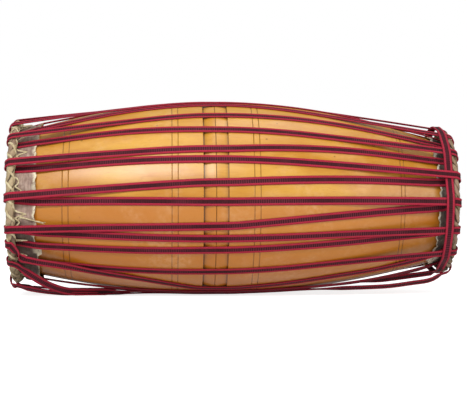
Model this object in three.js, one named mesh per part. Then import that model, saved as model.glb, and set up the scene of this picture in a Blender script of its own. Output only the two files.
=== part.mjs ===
// A mridangam, the two-headed barrel drum of South India, in millimetres.
// +X runs along the drum's axis from the bass end to the treble end, +Z is up, and the drum
// lies on its side on the surface z = 0, which its lowest strap touches under the belly.
// The origin is on that surface, halfway along the drum.
import * as THREE from "three";

// The clearance between pieces that touch.
const seatGap = 0.3;

// The wooden shell: a barrel turned from one log.
const shellLength = 592.5;
const bellyFromBassEnd = 273;
const bellyRadius = 132.5;
const bassMouthRadius = 93;
const trebleMouthRadius = 81;
const bassMouthWall = 13;
const trebleMouthWall = 13;
const bellyWall = 21;
const bearingEdgeRound = 3;
// The log is a little bowed, so both ends lie this much lower than the belly.
const endDrop = 5;

// The sunk bead that is turned round the belly, between two steps.
const beadWidth = 33;
const beadBassStep = 3.4;
const beadTrebleStep = 2.2;
const beadCrestDrop = 0.4;

// The bass head: a playing skin and an outer ring of thick hide.
const bassSkinThickness = 0.8;
const bassSkinFold = 12;
const bassRingThickness = 1.6;
const bassRingOpeningRadius = 62;
const bassFlapLength = 38;

// The treble head: an under ring, a playing skin with its paste, straws and an outer ring.
const trebleUnderRingThickness = 0.7;
const trebleUnderRingOpeningRadius = 57;
const trebleUnderRingFold = 7;
const trebleSkinThickness = 0.8;
const trebleSkinFold = 10;
const trebleRingThickness = 1.4;
const trebleRingOpeningRadius = 51;
const trebleFlapLength = 19;
const pasteRadius = 38;
const pasteThickness = 2.2;
const pasteEdgeThickness = 0.8;
const strawThickness = 1.4;
const strawLength = 26;
const strawPeek = 5;
const strawCount = 8;

// The plaited rawhide hoops, each set by how far its middle lies outside the shell's end.
const bassHoopThickness = 13;
const bassHoopOverhang = -3;
const trebleHoopThickness = 12;
const trebleHoopOverhang = 3;

// The strap of the lacing.
const strapWidth = 10.5;
const strapThickness = 1.5;

// The strap wound round the drum beside the treble hoop.
const crossStrapInset = 9;

// The loose end of hide string at the bass hoop.
const stringThickness = 1.8;

// Where the bass hoop's eyelets lie, in degrees up from the side that faces the viewer. Run 2k
// and run 2k + 1 both turn round bass eyelet k, and run 2k + 1 and run 2k + 2 round treble eyelet k.
const bassEyeletDegrees = [
  69, 51, 27.5, 3.5, -19, -30.5, -47, -77, -102, -126, -149, -172, -195, -218, -241, -266,
];
const trebleEyeletDegrees = [
  64, 42, 21, 0, -22.5, -43.5, -72, -97, -120, -143, -165, -187.5, -210, -232, -253, -270,
];
// Where each run crosses the belly, in the same degrees.
const bellyCrossingDegrees = [
  82.5, 72.5, 56.5, 43, 29, 22.4, 8.7, -2.2, -16.2, -23.6, -31, -67.5, -47.4, -80.5, -74, -90,
  -102, -112, -126, -135, -149, -158, -171, -180, -193, -203, -217, -226, -239, -248, -259, -267,
];
// A run that comes out from under its hoop lies this many degrees past the eyelet.
const bassUnderDegrees = 4;
const trebleUnderDegrees = 5;
// On these eyelets the two runs change places: at the bass hoop the later one passes over it,
// at the treble hoop the earlier one.
const swappedBassEyelets = [5, 6, 7];
const swappedTrebleEyelets = [5];

// What the five slack runs add to the straight route: at a share of the way from the hoop's
// middle to the belly, the degrees they lie aside and how far they hang off the straight line.
const slackHang = 13.8;
const slackRoutes = {
  11: {
    bass: [
      [0, 0, 0], [0.04, -8, 0], [0.1, -9.3, 0], [0.18, -8.4, 0], [0.25, -7.2, 0], [0.47, -5.3, 0],
      [0.73, -1.4, 0], [1, 0, 0],
    ],
    treble: [
      [0, -2, 0], [0.07, -4, 0], [0.2, -6.5, 0], [0.35, -6, 0], [0.5, -3, 0], [0.8, -1, 0],
      [1, 0, 0],
    ],
  },
  13: {
    bass: [
      [0, 0, 0], [0.08, -6, 0.17], [0.19, -16, 0.5], [0.29, -21, 0.64], [0.44, -19, 0.45],
      [0.7, -10.5, 0.06], [1, 0, 0],
    ],
    treble: [
      [0, 0, 0.2], [0.037, 0, 0.48], [0.075, 0, 0.8], [0.16, -2, 0.84], [0.25, -3, 0.86],
      [0.32, -3, 0.78], [0.5, -4, 0.44], [0.7, -3, 0.12], [1, 0, 0],
    ],
  },
  14: {
    bass: [
      [0, 0, 0], [0.05, 0, 0], [0.14, 0, 0.1], [0.3, 0, 0.16], [0.5, 0, 0.1], [0.75, 0, 0],
      [1, 0, 0],
    ],
    treble: [
      [0, 0, 0], [0.06, 0, 0.08], [0.14, 0, 0.24], [0.3, 0, 0.32], [0.5, 0, 0.2], [0.75, 0, 0.04],
      [1, 0, 0],
    ],
  },
  15: {
    bass: [
      [0, 12, 0.8], [0.05, 10, 0.84], [0.1, 7, 0.86], [0.24, 2, 0.83], [0.4, 0, 0.64],
      [0.6, 0, 0.34], [0.8, 0, 0.05], [1, 0, 0],
    ],
    treble: [
      [0, 0, 0], [0.1, 0, 0.06], [0.25, 0, 0.14], [0.45, 0, 0.14], [0.7, 0, 0.03], [1, 0, 0],
    ],
  },
  16: {
    bass: [
      [0, 0, 0.5], [0.08, 0, 0.6], [0.22, 0, 0.66], [0.4, 0, 0.5], [0.6, 0, 0.26],
      [0.8, 0, 0.06], [1, 0, 0],
    ],
    treble: [[0, 0, 0], [1, 0, 0]],
  },
};
// How much faster than the wrap round a hoop turns up, a slack run joins its own route.
const slackEasing = 4;

// How finely round shapes are divided.
const shellSides = 60;
const skinSides = 44;
const hoopSides = 44;
const hoopSectionSides = 8;
const foldSteps = 2;
// How much of a layer's offset its rounded edge moves by: the tangent of an eighth of a turn's half.
const edgeShare = Math.tan(Math.PI / 8);
const barrelSteps = 6;
const wrapSteps = 5;
const flapSteps = 3;
const barrelStrapStep = 37;
const tautShares = [0.35, 0.7, 1];
const slackShares = [0.05, 0.12, 0.22, 0.36, 0.6, 0.8, 1];

// Places along the axis, measured from the middle of the drum.
const bassLoopReach =
  bassHoopOverhang + bassHoopThickness / 2 + seatGap + strapThickness;
const trebleLoopReach =
  trebleHoopOverhang + trebleHoopThickness / 2 + seatGap + strapThickness;
const overallLength = shellLength + bassLoopReach + trebleLoopReach;
const bassEnd = bassLoopReach - overallLength / 2;
const trebleEnd = bassEnd + shellLength;
const belly = bassEnd + bellyFromBassEnd;
const beadStart = belly - beadWidth / 2;
const beadEnd = belly + beadWidth / 2;

// The two ends of the drum; toward is the way along X from the belly to the end.
const bassSide = {
  toward: -1,
  end: bassEnd,
  mouthRadius: bassMouthRadius,
  mouthWall: bassMouthWall,
  hoopRadius: bassHoopThickness / 2,
  hoopMiddle: bassEnd - bassHoopOverhang,
  // the outer face of the flap, off the shell's surface
  flapLift: seatGap + bassSkinThickness + seatGap + bassRingThickness,
  flapEdge: bassEnd + bassFlapLength,
};
const trebleSide = {
  toward: 1,
  end: trebleEnd,
  mouthRadius: trebleMouthRadius,
  mouthWall: trebleMouthWall,
  hoopRadius: trebleHoopThickness / 2,
  hoopMiddle: trebleEnd + trebleHoopOverhang,
  flapLift:
    seatGap +
    trebleUnderRingThickness +
    seatGap +
    trebleSkinThickness +
    seatGap +
    trebleRingThickness,
  flapEdge: trebleEnd - trebleFlapLength,
};

// How fast the barrel narrows: its outline on each side of the belly is a parabola.
function barrelBend(side) {
  return (bellyRadius - side.mouthRadius) / (side.end - belly) ** 2;
}

function barrelRadius(side, x) {
  return bellyRadius - barrelBend(side) * (x - belly) ** 2;
}

// How far the bowed log lies lower at a place along the drum than at the belly.
function bowDrop(x) {
  const side = x < belly ? bassSide : trebleSide;
  return endDrop * ((x - belly) / (side.end - belly)) ** 2;
}

// The drum lies on the strap that crosses the bead's step at its lowest point.
const lowestReach = barrelRadius(trebleSide, beadEnd) + seatGap + strapThickness;
const axisHeight = lowestReach + bowDrop(beadEnd);

function boreRadius(side, x) {
  const bellyBore = bellyRadius - bellyWall;
  const mouthBore = side.mouthRadius - side.mouthWall;
  const share = (x - belly) / (side.end - belly);
  return bellyBore - (bellyBore - mouthBore) * share ** 2;
}

// Steps from one value to another, both included.
function steps(from, to, count) {
  return Array.from({ length: count + 1 }, (_, i) => from + ((to - from) * i) / count);
}

// The radius of each hoop's middle: a strap fits between the sloping flap and the hoop.
for (const side of [bassSide, trebleSide]) {
  const nearest = side.toward * Math.min(side.toward * side.hoopMiddle, side.toward * side.end);
  const flapRadius = barrelRadius(side, nearest) + side.flapLift;
  const slope = 2 * barrelBend(side) * (nearest - belly);
  const across = seatGap + strapThickness + seatGap + side.hoopRadius;
  side.hoopRing = flapRadius + across * Math.sqrt(1 + slope ** 2);
}

// Solid making

// A ring or disc turned about the drum's axis, from its outline as [x, radius] points that go
// towards +X on the outer side and back on the inner side.
function turned(outline, sides) {
  const points = outline.map(([x, radius]) => new THREE.Vector2(radius, x));
  const first = points[0];
  const last = points[points.length - 1];
  if (first.x > 0 || last.x > 0) points.push(first.clone());
  const geometry = new THREE.LatheGeometry(points, sides);
  geometry.rotateZ(-Math.PI / 2);
  return geometry;
}

function axisPoint(x, radius, degrees) {
  const angle = THREE.MathUtils.degToRad(degrees);
  return new THREE.Vector3(x, -radius * Math.cos(angle), radius * Math.sin(angle));
}

// A flat band through its stations; each holds the band's middle point, the direction across
// its width, and the point's own direction along the band is worked out from its neighbours.
function band(stations, width, thickness) {
  const positions = [];
  const index = [];
  stations.forEach((station, i) => {
    const before = stations[Math.max(i - 1, 0)].point;
    const after = stations[Math.min(i + 1, stations.length - 1)].point;
    const along = after.clone().sub(before).normalize();
    const across = station.across.clone();
    across.addScaledVector(along, -across.dot(along)).normalize();
    const out = new THREE.Vector3().crossVectors(along, across);
    for (const [w, t] of [[1, 1], [-1, 1], [-1, -1], [1, -1]]) {
      const corner = station.point.clone();
      corner.addScaledVector(across, (w * width) / 2);
      corner.addScaledVector(out, (t * thickness) / 2);
      positions.push(...corner);
    }
  });
  for (let i = 0; i < stations.length - 1; i++) {
    for (let side = 0; side < 4; side++) {
      const a = 4 * i + side;
      const b = 4 * i + ((side + 1) % 4);
      index.push(a, b, b + 4, a, b + 4, a + 4);
    }
  }
  const lastRing = 4 * (stations.length - 1);
  index.push(0, 2, 1, 0, 3, 2);
  index.push(lastRing, lastRing + 1, lastRing + 2, lastRing, lastRing + 2, lastRing + 3);
  const geometry = new THREE.BufferGeometry();
  geometry.setAttribute("position", new THREE.Float32BufferAttribute(positions, 3));
  geometry.setIndex(index);
  geometry.computeVertexNormals();
  return geometry;
}

function roundTube(points, thickness, sides, tubeSteps) {
  const path = new THREE.CatmullRomCurve3(points);
  const section = new THREE.Shape();
  for (let i = 0; i < sides; i++) {
    const turn = (2 * Math.PI * i) / sides;
    const x = (thickness / 2) * Math.cos(turn);
    const y = (thickness / 2) * Math.sin(turn);
    if (i) section.lineTo(x, y);
    else section.moveTo(x, y);
  }
  section.closePath();
  return new THREE.ExtrudeGeometry(section, { steps: tubeSteps, extrudePath: path });
}

// Finishes

function finish(colour, roughness) {
  return new THREE.MeshStandardMaterial({ color: colour, roughness, metalness: 0 });
}

const wood = finish(0xd9912f, 0.35);
const ringHide = finish(0x8a7064, 0.7);
const playingSkin = finish(0xd8c7a0, 0.55);
const rawhide = finish(0xc3ab80, 0.65);
const paste = finish(0x17140f, 0.85);
const straw = finish(0xc9b26a, 0.7);
const webbing = finish(0x8e1836, 0.75);

// The frame of the whole drum: its axis lies above the surface by the belly's reach.
const mridangam = new THREE.Group();
const drum = new THREE.Group();
drum.position.z = axisHeight;
mridangam.add(drum);

// Lowers every point of a solid by as much as the bowed log does there.
function bowed(geometry) {
  const points = geometry.getAttribute("position");
  for (let i = 0; i < points.count; i++) {
    points.setZ(i, points.getZ(i) - bowDrop(points.getX(i)));
  }
  return geometry;
}

function piece(name, geometry, material) {
  const mesh = new THREE.Mesh(bowed(geometry), material);
  mesh.name = name;
  drum.add(mesh);
}

// The shell
function shellOutline() {
  const outline = [];
  const outer = (side, x) => outline.push([x, barrelRadius(side, x)]);
  outline.push([bassEnd, bassMouthRadius - bearingEdgeRound]);
  steps(bassEnd + bearingEdgeRound, beadStart, barrelSteps).forEach((x) => outer(bassSide, x));
  const crest = bellyRadius - beadCrestDrop;
  outline.push([beadStart, bellyRadius - beadBassStep]);
  outline.push([belly - beadWidth / 5, crest - beadCrestDrop]);
  outline.push([belly, crest]);
  outline.push([belly + beadWidth / 5, crest - beadCrestDrop]);
  outline.push([beadEnd, bellyRadius - beadTrebleStep]);
  steps(beadEnd, trebleEnd - bearingEdgeRound, barrelSteps).forEach((x) => outer(trebleSide, x));
  outline.push([trebleEnd, trebleMouthRadius - bearingEdgeRound]);
  const boreLip = 2 * bearingEdgeRound;
  const inner = (side, x) => outline.push([x, boreRadius(side, x)]);
  steps(trebleEnd - boreLip, belly, barrelSteps - 2).forEach((x) => inner(trebleSide, x));
  steps(belly, bassEnd + boreLip, barrelSteps - 2)
    .slice(1)
    .forEach((x) => inner(bassSide, x));
  return outline;
}
piece("shell", turned(shellOutline(), shellSides), wood);

// A skin or ring that lies on a mouth and is folded down over the shell's side. lift is how far
// its inner face stays off the shell, opening the radius of the hole in it, 0 for a whole skin.
function foldedSkin(side, lift, thickness, opening, foldLength, sides, faceLift = lift) {
  const { toward, end, mouthRadius } = side;
  // the rounded edge of the shell, and the same edge further out on each layer over it
  const faceEdge = (off) => mouthRadius - bearingEdgeRound + off * edgeShare;
  const foldStart = (off) => end - toward * (bearingEdgeRound - off * edgeShare);
  const fold = (off) =>
    steps(foldStart(off), end - toward * foldLength, foldSteps).map((x) => [
      x,
      barrelRadius(side, x) + off,
    ]);
  const innerFace = end + toward * faceLift;
  const outerFace = innerFace + toward * thickness;
  const outline = [
    ...fold(lift + thickness).reverse(),
    [outerFace, faceEdge(faceLift + thickness)],
    [outerFace, opening],
    [innerFace, opening],
    [innerFace, faceEdge(faceLift)],
    ...fold(lift),
  ];
  return turned(toward > 0 ? outline : outline.reverse(), sides);
}

// The bass head
piece(
  "bass_skin",
  foldedSkin(bassSide, seatGap, bassSkinThickness, 0, bassSkinFold, skinSides),
  playingSkin,
);
const bassRingLift = bassSide.flapLift - bassRingThickness;
piece(
  "bass_ring",
  foldedSkin(
    bassSide,
    bassRingLift,
    bassRingThickness,
    bassRingOpeningRadius,
    bassFlapLength,
    skinSides,
  ),
  ringHide,
);

// The treble head
piece(
  "treble_under_ring",
  foldedSkin(
    trebleSide,
    seatGap,
    trebleUnderRingThickness,
    trebleUnderRingOpeningRadius,
    trebleUnderRingFold,
    skinSides,
  ),
  playingSkin,
);
const trebleSkinLift = seatGap + trebleUnderRingThickness + seatGap;
piece(
  "treble_skin",
  foldedSkin(trebleSide, trebleSkinLift, trebleSkinThickness, 0, trebleSkinFold, skinSides),
  playingSkin,
);
const trebleSkinFace = trebleEnd + trebleSkinLift + trebleSkinThickness;
const trebleRingLift = trebleSide.flapLift - trebleRingThickness;
const trebleRingFaceLift =
  trebleSkinLift + trebleSkinThickness + seatGap + strawThickness + seatGap;
piece(
  "treble_ring",
  foldedSkin(
    trebleSide,
    trebleRingLift,
    trebleRingThickness,
    trebleRingOpeningRadius,
    trebleFlapLength,
    skinSides,
    trebleRingFaceLift,
  ),
  ringHide,
);
const pasteBack = trebleSkinFace + seatGap;
piece(
  "tuning_paste",
  turned(
    [
      [pasteBack, 0],
      [pasteBack, pasteRadius],
      [pasteBack + pasteEdgeThickness, pasteRadius],
      [pasteBack + pasteThickness, pasteRadius * (2 / 3)],
      [pasteBack + pasteThickness, 0],
    ],
    skinSides,
  ),
  paste,
);

// The straws between the treble skin and its outer ring
for (let i = 0; i < strawCount; i++) {
  const bit = new THREE.CylinderGeometry(strawThickness / 2, strawThickness / 2, strawLength, 8);
  const middle = trebleRingOpeningRadius - strawPeek + strawLength / 2;
  bit.translate(trebleSkinFace + seatGap + strawThickness / 2, middle, 0);
  bit.rotateX((2 * Math.PI * (i + 1 / 2)) / strawCount);
  piece(`straw_${i + 1}`, bit, straw);
}

// The hoops
function hoopRing(side) {
  const outline = [];
  for (let i = 0; i < hoopSectionSides; i++) {
    const turn = (2 * Math.PI * (i + 1 / 2)) / hoopSectionSides;
    const x = side.hoopMiddle - side.hoopRadius * Math.cos(turn);
    outline.push([x, side.hoopRing + side.hoopRadius * Math.sin(turn)]);
  }
  return turned(outline, hoopSides);
}
piece("bass_hoop", hoopRing(bassSide), rawhide);
piece("treble_hoop", hoopRing(trebleSide), rawhide);

// The lacing

// The height of a strap's middle over what it lies on.
const strapLift = seatGap + strapThickness / 2;

// The value in a column of a table of places, at a share of the way.
function between(table, share, column) {
  const next = Math.max(1, table.findIndex((row) => row[0] >= share));
  const [low, high] = [table[next - 1], table[next]];
  return THREE.MathUtils.mapLinear(share, low[0], high[0], low[column], high[column]);
}

// Where the straight stretch of a run leaves a point near the hoop and touches the barrel.
function touchPoint(side, x, radius) {
  const reach = Math.abs(x - belly);
  const drop = bellyRadius + strapLift - radius;
  const free = Math.sqrt(Math.max(reach ** 2 - drop / barrelBend(side), 0));
  return belly + side.toward * (reach - free);
}

// How fast the strap falls towards the hoop where it is straight.
function straightSlope(side, touch) {
  return 2 * barrelBend(side) * Math.abs(touch - belly);
}

// The middle of a strap wrapped round a hoop, at a turn from the hoop's outer side.
function wrapPoint(side, turn) {
  // a flat strap across a round ring stands off it by this much in its middle
  const flatLift = strapWidth ** 2 / 8 / side.hoopRing;
  const wrap = (side.hoopRadius + strapLift + flatLift) / Math.cos(Math.PI / 2 / wrapSteps);
  const x = side.hoopMiddle + side.toward * wrap * Math.sin(turn);
  return [x, side.hoopRing + wrap * Math.cos(turn)];
}

// How steeply a run that passes over its hoop leaves it, as an angle.
function leaveSlope(side) {
  const touch = touchPoint(side, side.hoopMiddle, side.hoopRing + side.hoopRadius + strapLift);
  return Math.atan(straightSlope(side, touch));
}

// The half of a run from its hoop to the step of the bead, as [x, radius, how far under].
function halfRun(side, over, shares) {
  const { toward, hoopMiddle } = side;
  const route = [];
  if (over) {
    steps(Math.PI, leaveSlope(side), wrapSteps).forEach((turn, i) => {
      route.push([...wrapPoint(side, turn), (1 - i / wrapSteps) / 2]);
    });
  } else {
    const start = hoopMiddle - toward * 3 * seatGap;
    steps(start, side.flapEdge, flapSteps).forEach((x, i) => {
      const onFlap = barrelRadius(side, x) + side.flapLift + strapLift;
      route.push([x, onFlap, (1 + i / flapSteps) / 2]);
    });
  }
  const [leaveX, leaveRadius] = route[route.length - 1];
  const touch = touchPoint(side, leaveX, leaveRadius);
  const touchRadius = barrelRadius(side, touch) + strapLift;
  const under = over ? 0 : 1;
  for (const share of shares) {
    const x = THREE.MathUtils.lerp(leaveX, touch, share);
    route.push([x, THREE.MathUtils.lerp(leaveRadius, touchRadius, share), under]);
  }
  const step = toward > 0 ? beadEnd : beadStart;
  steps(touch, step, Math.ceil(Math.abs(touch - step) / barrelStrapStep))
    .slice(1)
    .forEach((x) => route.push([x, barrelRadius(side, x) + strapLift, under]));
  return route;
}

function bassOver(run) {
  const swapped = swappedBassEyelets.includes(Math.floor(run / 2));
  return swapped ? run % 2 === 1 : run % 2 === 0;
}

function trebleOver(run) {
  const swapped = swappedTrebleEyelets.includes(Math.ceil(run / 2) - 1);
  return swapped ? run % 2 === 0 : run % 2 === 1;
}

// One half of a run as stations for the band. Past its wrap the run lies straight between the
// angle at its eyelet and the angle at the belly.
function halfStations(side, over, eyelet, underDegrees, crossing, slack) {
  const { hoopMiddle } = side;
  const step = side.toward > 0 ? beadEnd : beadStart;
  return halfRun(side, over, slack ? slackShares : tautShares).map(([x, radius, under]) => {
    const share = THREE.MathUtils.clamp((x - hoopMiddle) / (step - hoopMiddle), 0, 1);
    let degrees = THREE.MathUtils.lerp(eyelet - under * underDegrees, crossing, share);
    let lift = 0;
    if (slack) {
      // on the hoop a run keeps to its wrap, and is free once it is round it
      const free = over ? Math.max(0, 1 - slackEasing * under) : 1;
      degrees += free * between(slack, share, 1);
      lift = free * slackHang * between(slack, share, 2);
    }
    return {
      point: axisPoint(x, radius + lift, degrees),
      across: axisPoint(0, 1, degrees + 90),
    };
  });
}

function laceStations(run) {
  const last = trebleEyeletDegrees.length - 1;
  const bassEyelet = bassEyeletDegrees[Math.floor(run / 2)];
  const trebleEyelet = run ? trebleEyeletDegrees[Math.ceil(run / 2) - 1] : trebleEyeletDegrees[last] + 360;
  const slack = slackRoutes[run] || {};
  const crossing = bellyCrossingDegrees[run];
  const bassHalf = halfStations(
    bassSide,
    bassOver(run),
    bassEyelet,
    bassUnderDegrees,
    crossing,
    slack.bass,
  );
  const trebleHalf = halfStations(
    trebleSide,
    trebleOver(run),
    trebleEyelet,
    trebleUnderDegrees,
    crossing,
    slack.treble,
  );
  return [...bassHalf, ...trebleHalf.reverse()];
}

bellyCrossingDegrees.forEach((_, run) => {
  const name = `lace_run_${String(run + 1).padStart(2, "0")}`;
  piece(name, band(laceStations(run), strapWidth, strapThickness), webbing);
});

// The cross strap

// It lies on the runs that pass over the treble hoop, but under three of them.
const eyeletsOverCross = [2, 6, 7];
// Its two ends lap on the far side, just past this eyelet.
const lapEyelet = 9;
const lapEndDegrees = 8;
const crossX = trebleSide.hoopMiddle - crossStrapInset;

// The middle of a run that passes over the treble hoop, at a place near the hoop.
function overRunRadius(x) {
  const [leaveX, leaveRadius] = wrapPoint(trebleSide, leaveSlope(trebleSide));
  const touch = touchPoint(trebleSide, leaveX, leaveRadius);
  return leaveRadius + (leaveX - x) * straightSlope(trebleSide, touch);
}
const layer = strapThickness + seatGap;
const crossUnder = overRunRadius(crossX + strapWidth / 2) - layer;
const halfFlat = (strapWidth / 2 + strapThickness) / crossUnder;
const halfFlatDegrees = THREE.MathUtils.radToDeg(halfFlat);
const crossTop = (overRunRadius(crossX - strapWidth / 2) + layer) / Math.cos(halfFlat);

function crossStation(degrees, radius) {
  return { point: axisPoint(crossX, radius, degrees), across: new THREE.Vector3(-1, 0, 0) };
}

// The flat of the strap over or under one run of the lacing.
function crossFlat(eyelet, turn, radius) {
  const middle = trebleEyeletDegrees[eyelet] - turn;
  return [
    crossStation(middle + halfFlatDegrees, radius),
    crossStation(middle - halfFlatDegrees, radius),
  ];
}

function crossStations() {
  const start = trebleEyeletDegrees[lapEyelet] - lapEndDegrees;
  const stations = [crossStation(start, crossTop)];
  const count = trebleEyeletDegrees.length;
  for (let i = 1; i <= count; i++) {
    const eyelet = (lapEyelet + i) % count;
    const turn = lapEyelet + i < count ? 0 : 360;
    const radius = eyeletsOverCross.includes(eyelet) ? crossUnder : crossTop;
    stations.push(...crossFlat(eyelet, turn, radius));
  }
  stations.push(crossStation(start - 360, crossTop + layer));
  stations.push(...crossFlat(lapEyelet + 1, 360, crossTop + layer));
  const end = trebleEyeletDegrees[lapEyelet + 1] - lapEndDegrees;
  stations.push(crossStation(end - 360, crossTop + layer));
  return stations;
}
piece("cross_strap", band(crossStations(), strapWidth, strapThickness), webbing);

// The hide string: from the bass hoop over the flap's edge to the shell.
const stringRoute = [
  [0.27, -10.8, 2.2],
  [0.42, -11.8, 1],
  [0.65, -13, 0.8],
  [0.95, -14.4, 0.8],
  [1.3, -15.6, 0.8],
];
const stringPoints = stringRoute.map(([share, degrees, lift]) => {
  const x = bassSide.hoopMiddle + share * (bassSide.flapEdge - bassSide.hoopMiddle);
  const radius = barrelRadius(bassSide, x) + bassSide.flapLift + lift * stringThickness;
  return axisPoint(x, radius, degrees);
});
piece("hide_string", roundTube(stringPoints, stringThickness, 6, 12), rawhide);

export default mridangam;
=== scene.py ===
# A mridangam: its wooden shell, hide heads, rawhide hoops and woven lacing, in metres.
import math
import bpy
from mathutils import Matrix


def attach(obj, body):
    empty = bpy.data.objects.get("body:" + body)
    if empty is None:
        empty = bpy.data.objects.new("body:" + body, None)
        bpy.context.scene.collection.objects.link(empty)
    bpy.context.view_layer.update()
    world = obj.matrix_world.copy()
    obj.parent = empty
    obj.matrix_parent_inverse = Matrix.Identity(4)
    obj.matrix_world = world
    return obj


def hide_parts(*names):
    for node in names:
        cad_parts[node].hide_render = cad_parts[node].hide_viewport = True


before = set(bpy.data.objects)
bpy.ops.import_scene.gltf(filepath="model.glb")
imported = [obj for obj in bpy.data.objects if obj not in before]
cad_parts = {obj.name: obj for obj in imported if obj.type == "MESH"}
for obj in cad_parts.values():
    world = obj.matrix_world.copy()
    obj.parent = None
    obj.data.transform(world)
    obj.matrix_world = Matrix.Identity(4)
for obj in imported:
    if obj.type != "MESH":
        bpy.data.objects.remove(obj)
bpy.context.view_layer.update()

from types import SimpleNamespace

import bmesh
import bpy
from mathutils import Quaternion, Vector, noise

# Sizes of the drum, the same as the solids have
SEAT_GAP = 0.0003
SHELL_LENGTH = 0.5925
BELLY_FROM_BASS_END = 0.273
BELLY_RADIUS = 0.1325
BELLY_WALL = 0.021
MOUTH_WALL = 0.013
EDGE_ROUND = 0.003
END_DROP = 0.005
BASS_MOUTH_RADIUS = 0.093
TREBLE_MOUTH_RADIUS = 0.081
BEAD_WIDTH = 0.033
BEAD_BASS_STEP = 0.0034
BEAD_TREBLE_STEP = 0.0022
BEAD_CREST_DROP = 0.0004
STRAP_WIDTH = 0.0105
STRAP_THICKNESS = 0.0015
STRAP_LIFT = SEAT_GAP + STRAP_THICKNESS / 2
CROSS_STRAP_INSET = 0.009
# The straps are drawn a little wider and thicker than the solids, and with ribs
DRAWN_STRAP_WIDTH = STRAP_WIDTH * 1.07
CORD_THICKNESS = 0.0021
RIB_PITCH = 0.0017
RIB_HEIGHT = 0.00012

# The hides, hoops, paste and straws of the two heads
BASS_SKIN_THICKNESS = 0.0008
BASS_RING_THICKNESS = 0.0016
BASS_RING_OPENING = 0.062
BASS_SKIN_FOLD = 0.012
BASS_FLAP = 0.038
BASS_HOOP_RADIUS = 0.0065
BASS_HOOP_OVERHANG = -0.003
TREBLE_UNDER_THICKNESS = 0.0007
TREBLE_UNDER_OPENING = 0.057
TREBLE_UNDER_FOLD = 0.007
TREBLE_SKIN_THICKNESS = 0.0008
TREBLE_SKIN_FOLD = 0.010
TREBLE_RING_THICKNESS = 0.0014
TREBLE_RING_OPENING = 0.051
TREBLE_FLAP = 0.019
TREBLE_HOOP_RADIUS = 0.006
TREBLE_HOOP_OVERHANG = 0.003
PASTE_RADIUS = 0.038
STRAW_COUNT = 8
STRAW_THICKNESS = 0.0014
STRAW_LENGTH = 0.026
STRAW_PEEK = 0.005
BASS_RING_LIFT = SEAT_GAP + BASS_SKIN_THICKNESS + SEAT_GAP
TREBLE_SKIN_LIFT = SEAT_GAP + TREBLE_UNDER_THICKNESS + SEAT_GAP
TREBLE_RING_LIFT = TREBLE_SKIN_LIFT + TREBLE_SKIN_THICKNESS + SEAT_GAP
TREBLE_RING_FACE_LIFT = TREBLE_RING_LIFT + STRAW_THICKNESS + SEAT_GAP

BASS_EYELETS = [
    69, 51, 27.5, 3.5, -19, -30.5, -47, -77, -102, -126, -149, -172, -195, -218, -241, -266,
]
TREBLE_EYELETS = [
    64, 42, 21, 0, -22.5, -43.5, -72, -97, -120, -143, -165, -187.5, -210, -232, -253, -270,
]
BELLY_CROSSINGS = [
    82.5, 72.5, 56.5, 43, 29, 22.4, 8.7, -2.2, -16.2, -23.6, -31, -67.5, -47.4, -80.5, -74, -90,
    -102, -112, -126, -135, -149, -158, -171, -180, -193, -203, -217, -226, -239, -248, -259, -267,
]
BASS_UNDER_DEGREES = 4
TREBLE_UNDER_DEGREES = 5
SWAPPED_BASS_EYELETS = (5, 6, 7)
SWAPPED_TREBLE_EYELETS = (5,)
EYELETS_OVER_CROSS = (2, 6, 7)

# The slack runs: share of the way to the belly, degrees aside, share of the hang
SLACK_HANG = 0.0138
STRAIGHT = [(0, 0, 0), (1, 0, 0)]
SLACK_ROUTES = {
    11: (
        [
            (0, 0, 0), (0.04, -8, 0), (0.1, -9.3, 0), (0.18, -8.4, 0), (0.25, -7.2, 0),
            (0.47, -5.3, 0), (0.73, -1.4, 0), (1, 0, 0),
        ],
        [
            (0, -2, 0), (0.07, -4, 0), (0.2, -6.5, 0), (0.35, -6, 0), (0.5, -3, 0), (0.8, -1, 0),
            (1, 0, 0),
        ],
    ),
    13: (
        [
            (0, 0, 0), (0.08, -6, 0.17), (0.19, -16, 0.5), (0.29, -21, 0.64), (0.44, -19, 0.45),
            (0.7, -10.5, 0.06), (1, 0, 0),
        ],
        [
            (0, 0, 0.2), (0.037, 0, 0.48), (0.075, 0, 0.8), (0.16, -2, 0.84), (0.25, -3, 0.86),
            (0.32, -3, 0.78), (0.5, -4, 0.44), (0.7, -3, 0.12), (1, 0, 0),
        ],
    ),
    14: (
        [
            (0, 0, 0), (0.05, 0, 0), (0.14, 0, 0.1), (0.3, 0, 0.16), (0.5, 0, 0.1), (0.75, 0, 0),
            (1, 0, 0),
        ],
        [
            (0, 0, 0), (0.06, 0, 0.08), (0.14, 0, 0.24), (0.3, 0, 0.32), (0.5, 0, 0.2),
            (0.75, 0, 0.04), (1, 0, 0),
        ],
    ),
    15: (
        [
            (0, 12, 0.8), (0.05, 10, 0.84), (0.1, 7, 0.86), (0.24, 2, 0.83), (0.4, 0, 0.64),
            (0.6, 0, 0.34), (0.8, 0, 0.05), (1, 0, 0),
        ],
        [
            (0, 0, 0), (0.1, 0, 0.06), (0.25, 0, 0.14), (0.45, 0, 0.14), (0.7, 0, 0.03), (1, 0, 0),
        ],
    ),
    16: (
        [
            (0, 0, 0.5), (0.08, 0, 0.6), (0.22, 0, 0.66), (0.4, 0, 0.5), (0.6, 0, 0.26),
            (0.8, 0, 0.06), (1, 0, 0),
        ],
        STRAIGHT,
    ),
}
# How far the slack runs turn their flat side to the front, on the bass and the treble side
FRONT_TURNS = {11: (0.3, 0), 13: (0.8, 0.3), 14: (0.75, 0.85), 15: (0.3, 0.55), 16: (0.3, 0.4)}
# The run whose strap is twisted half a turn beside the bass hoop, and where
TWISTED_RUN, TWIST_START, TWIST_END = 11, -0.2925, -0.2775

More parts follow.
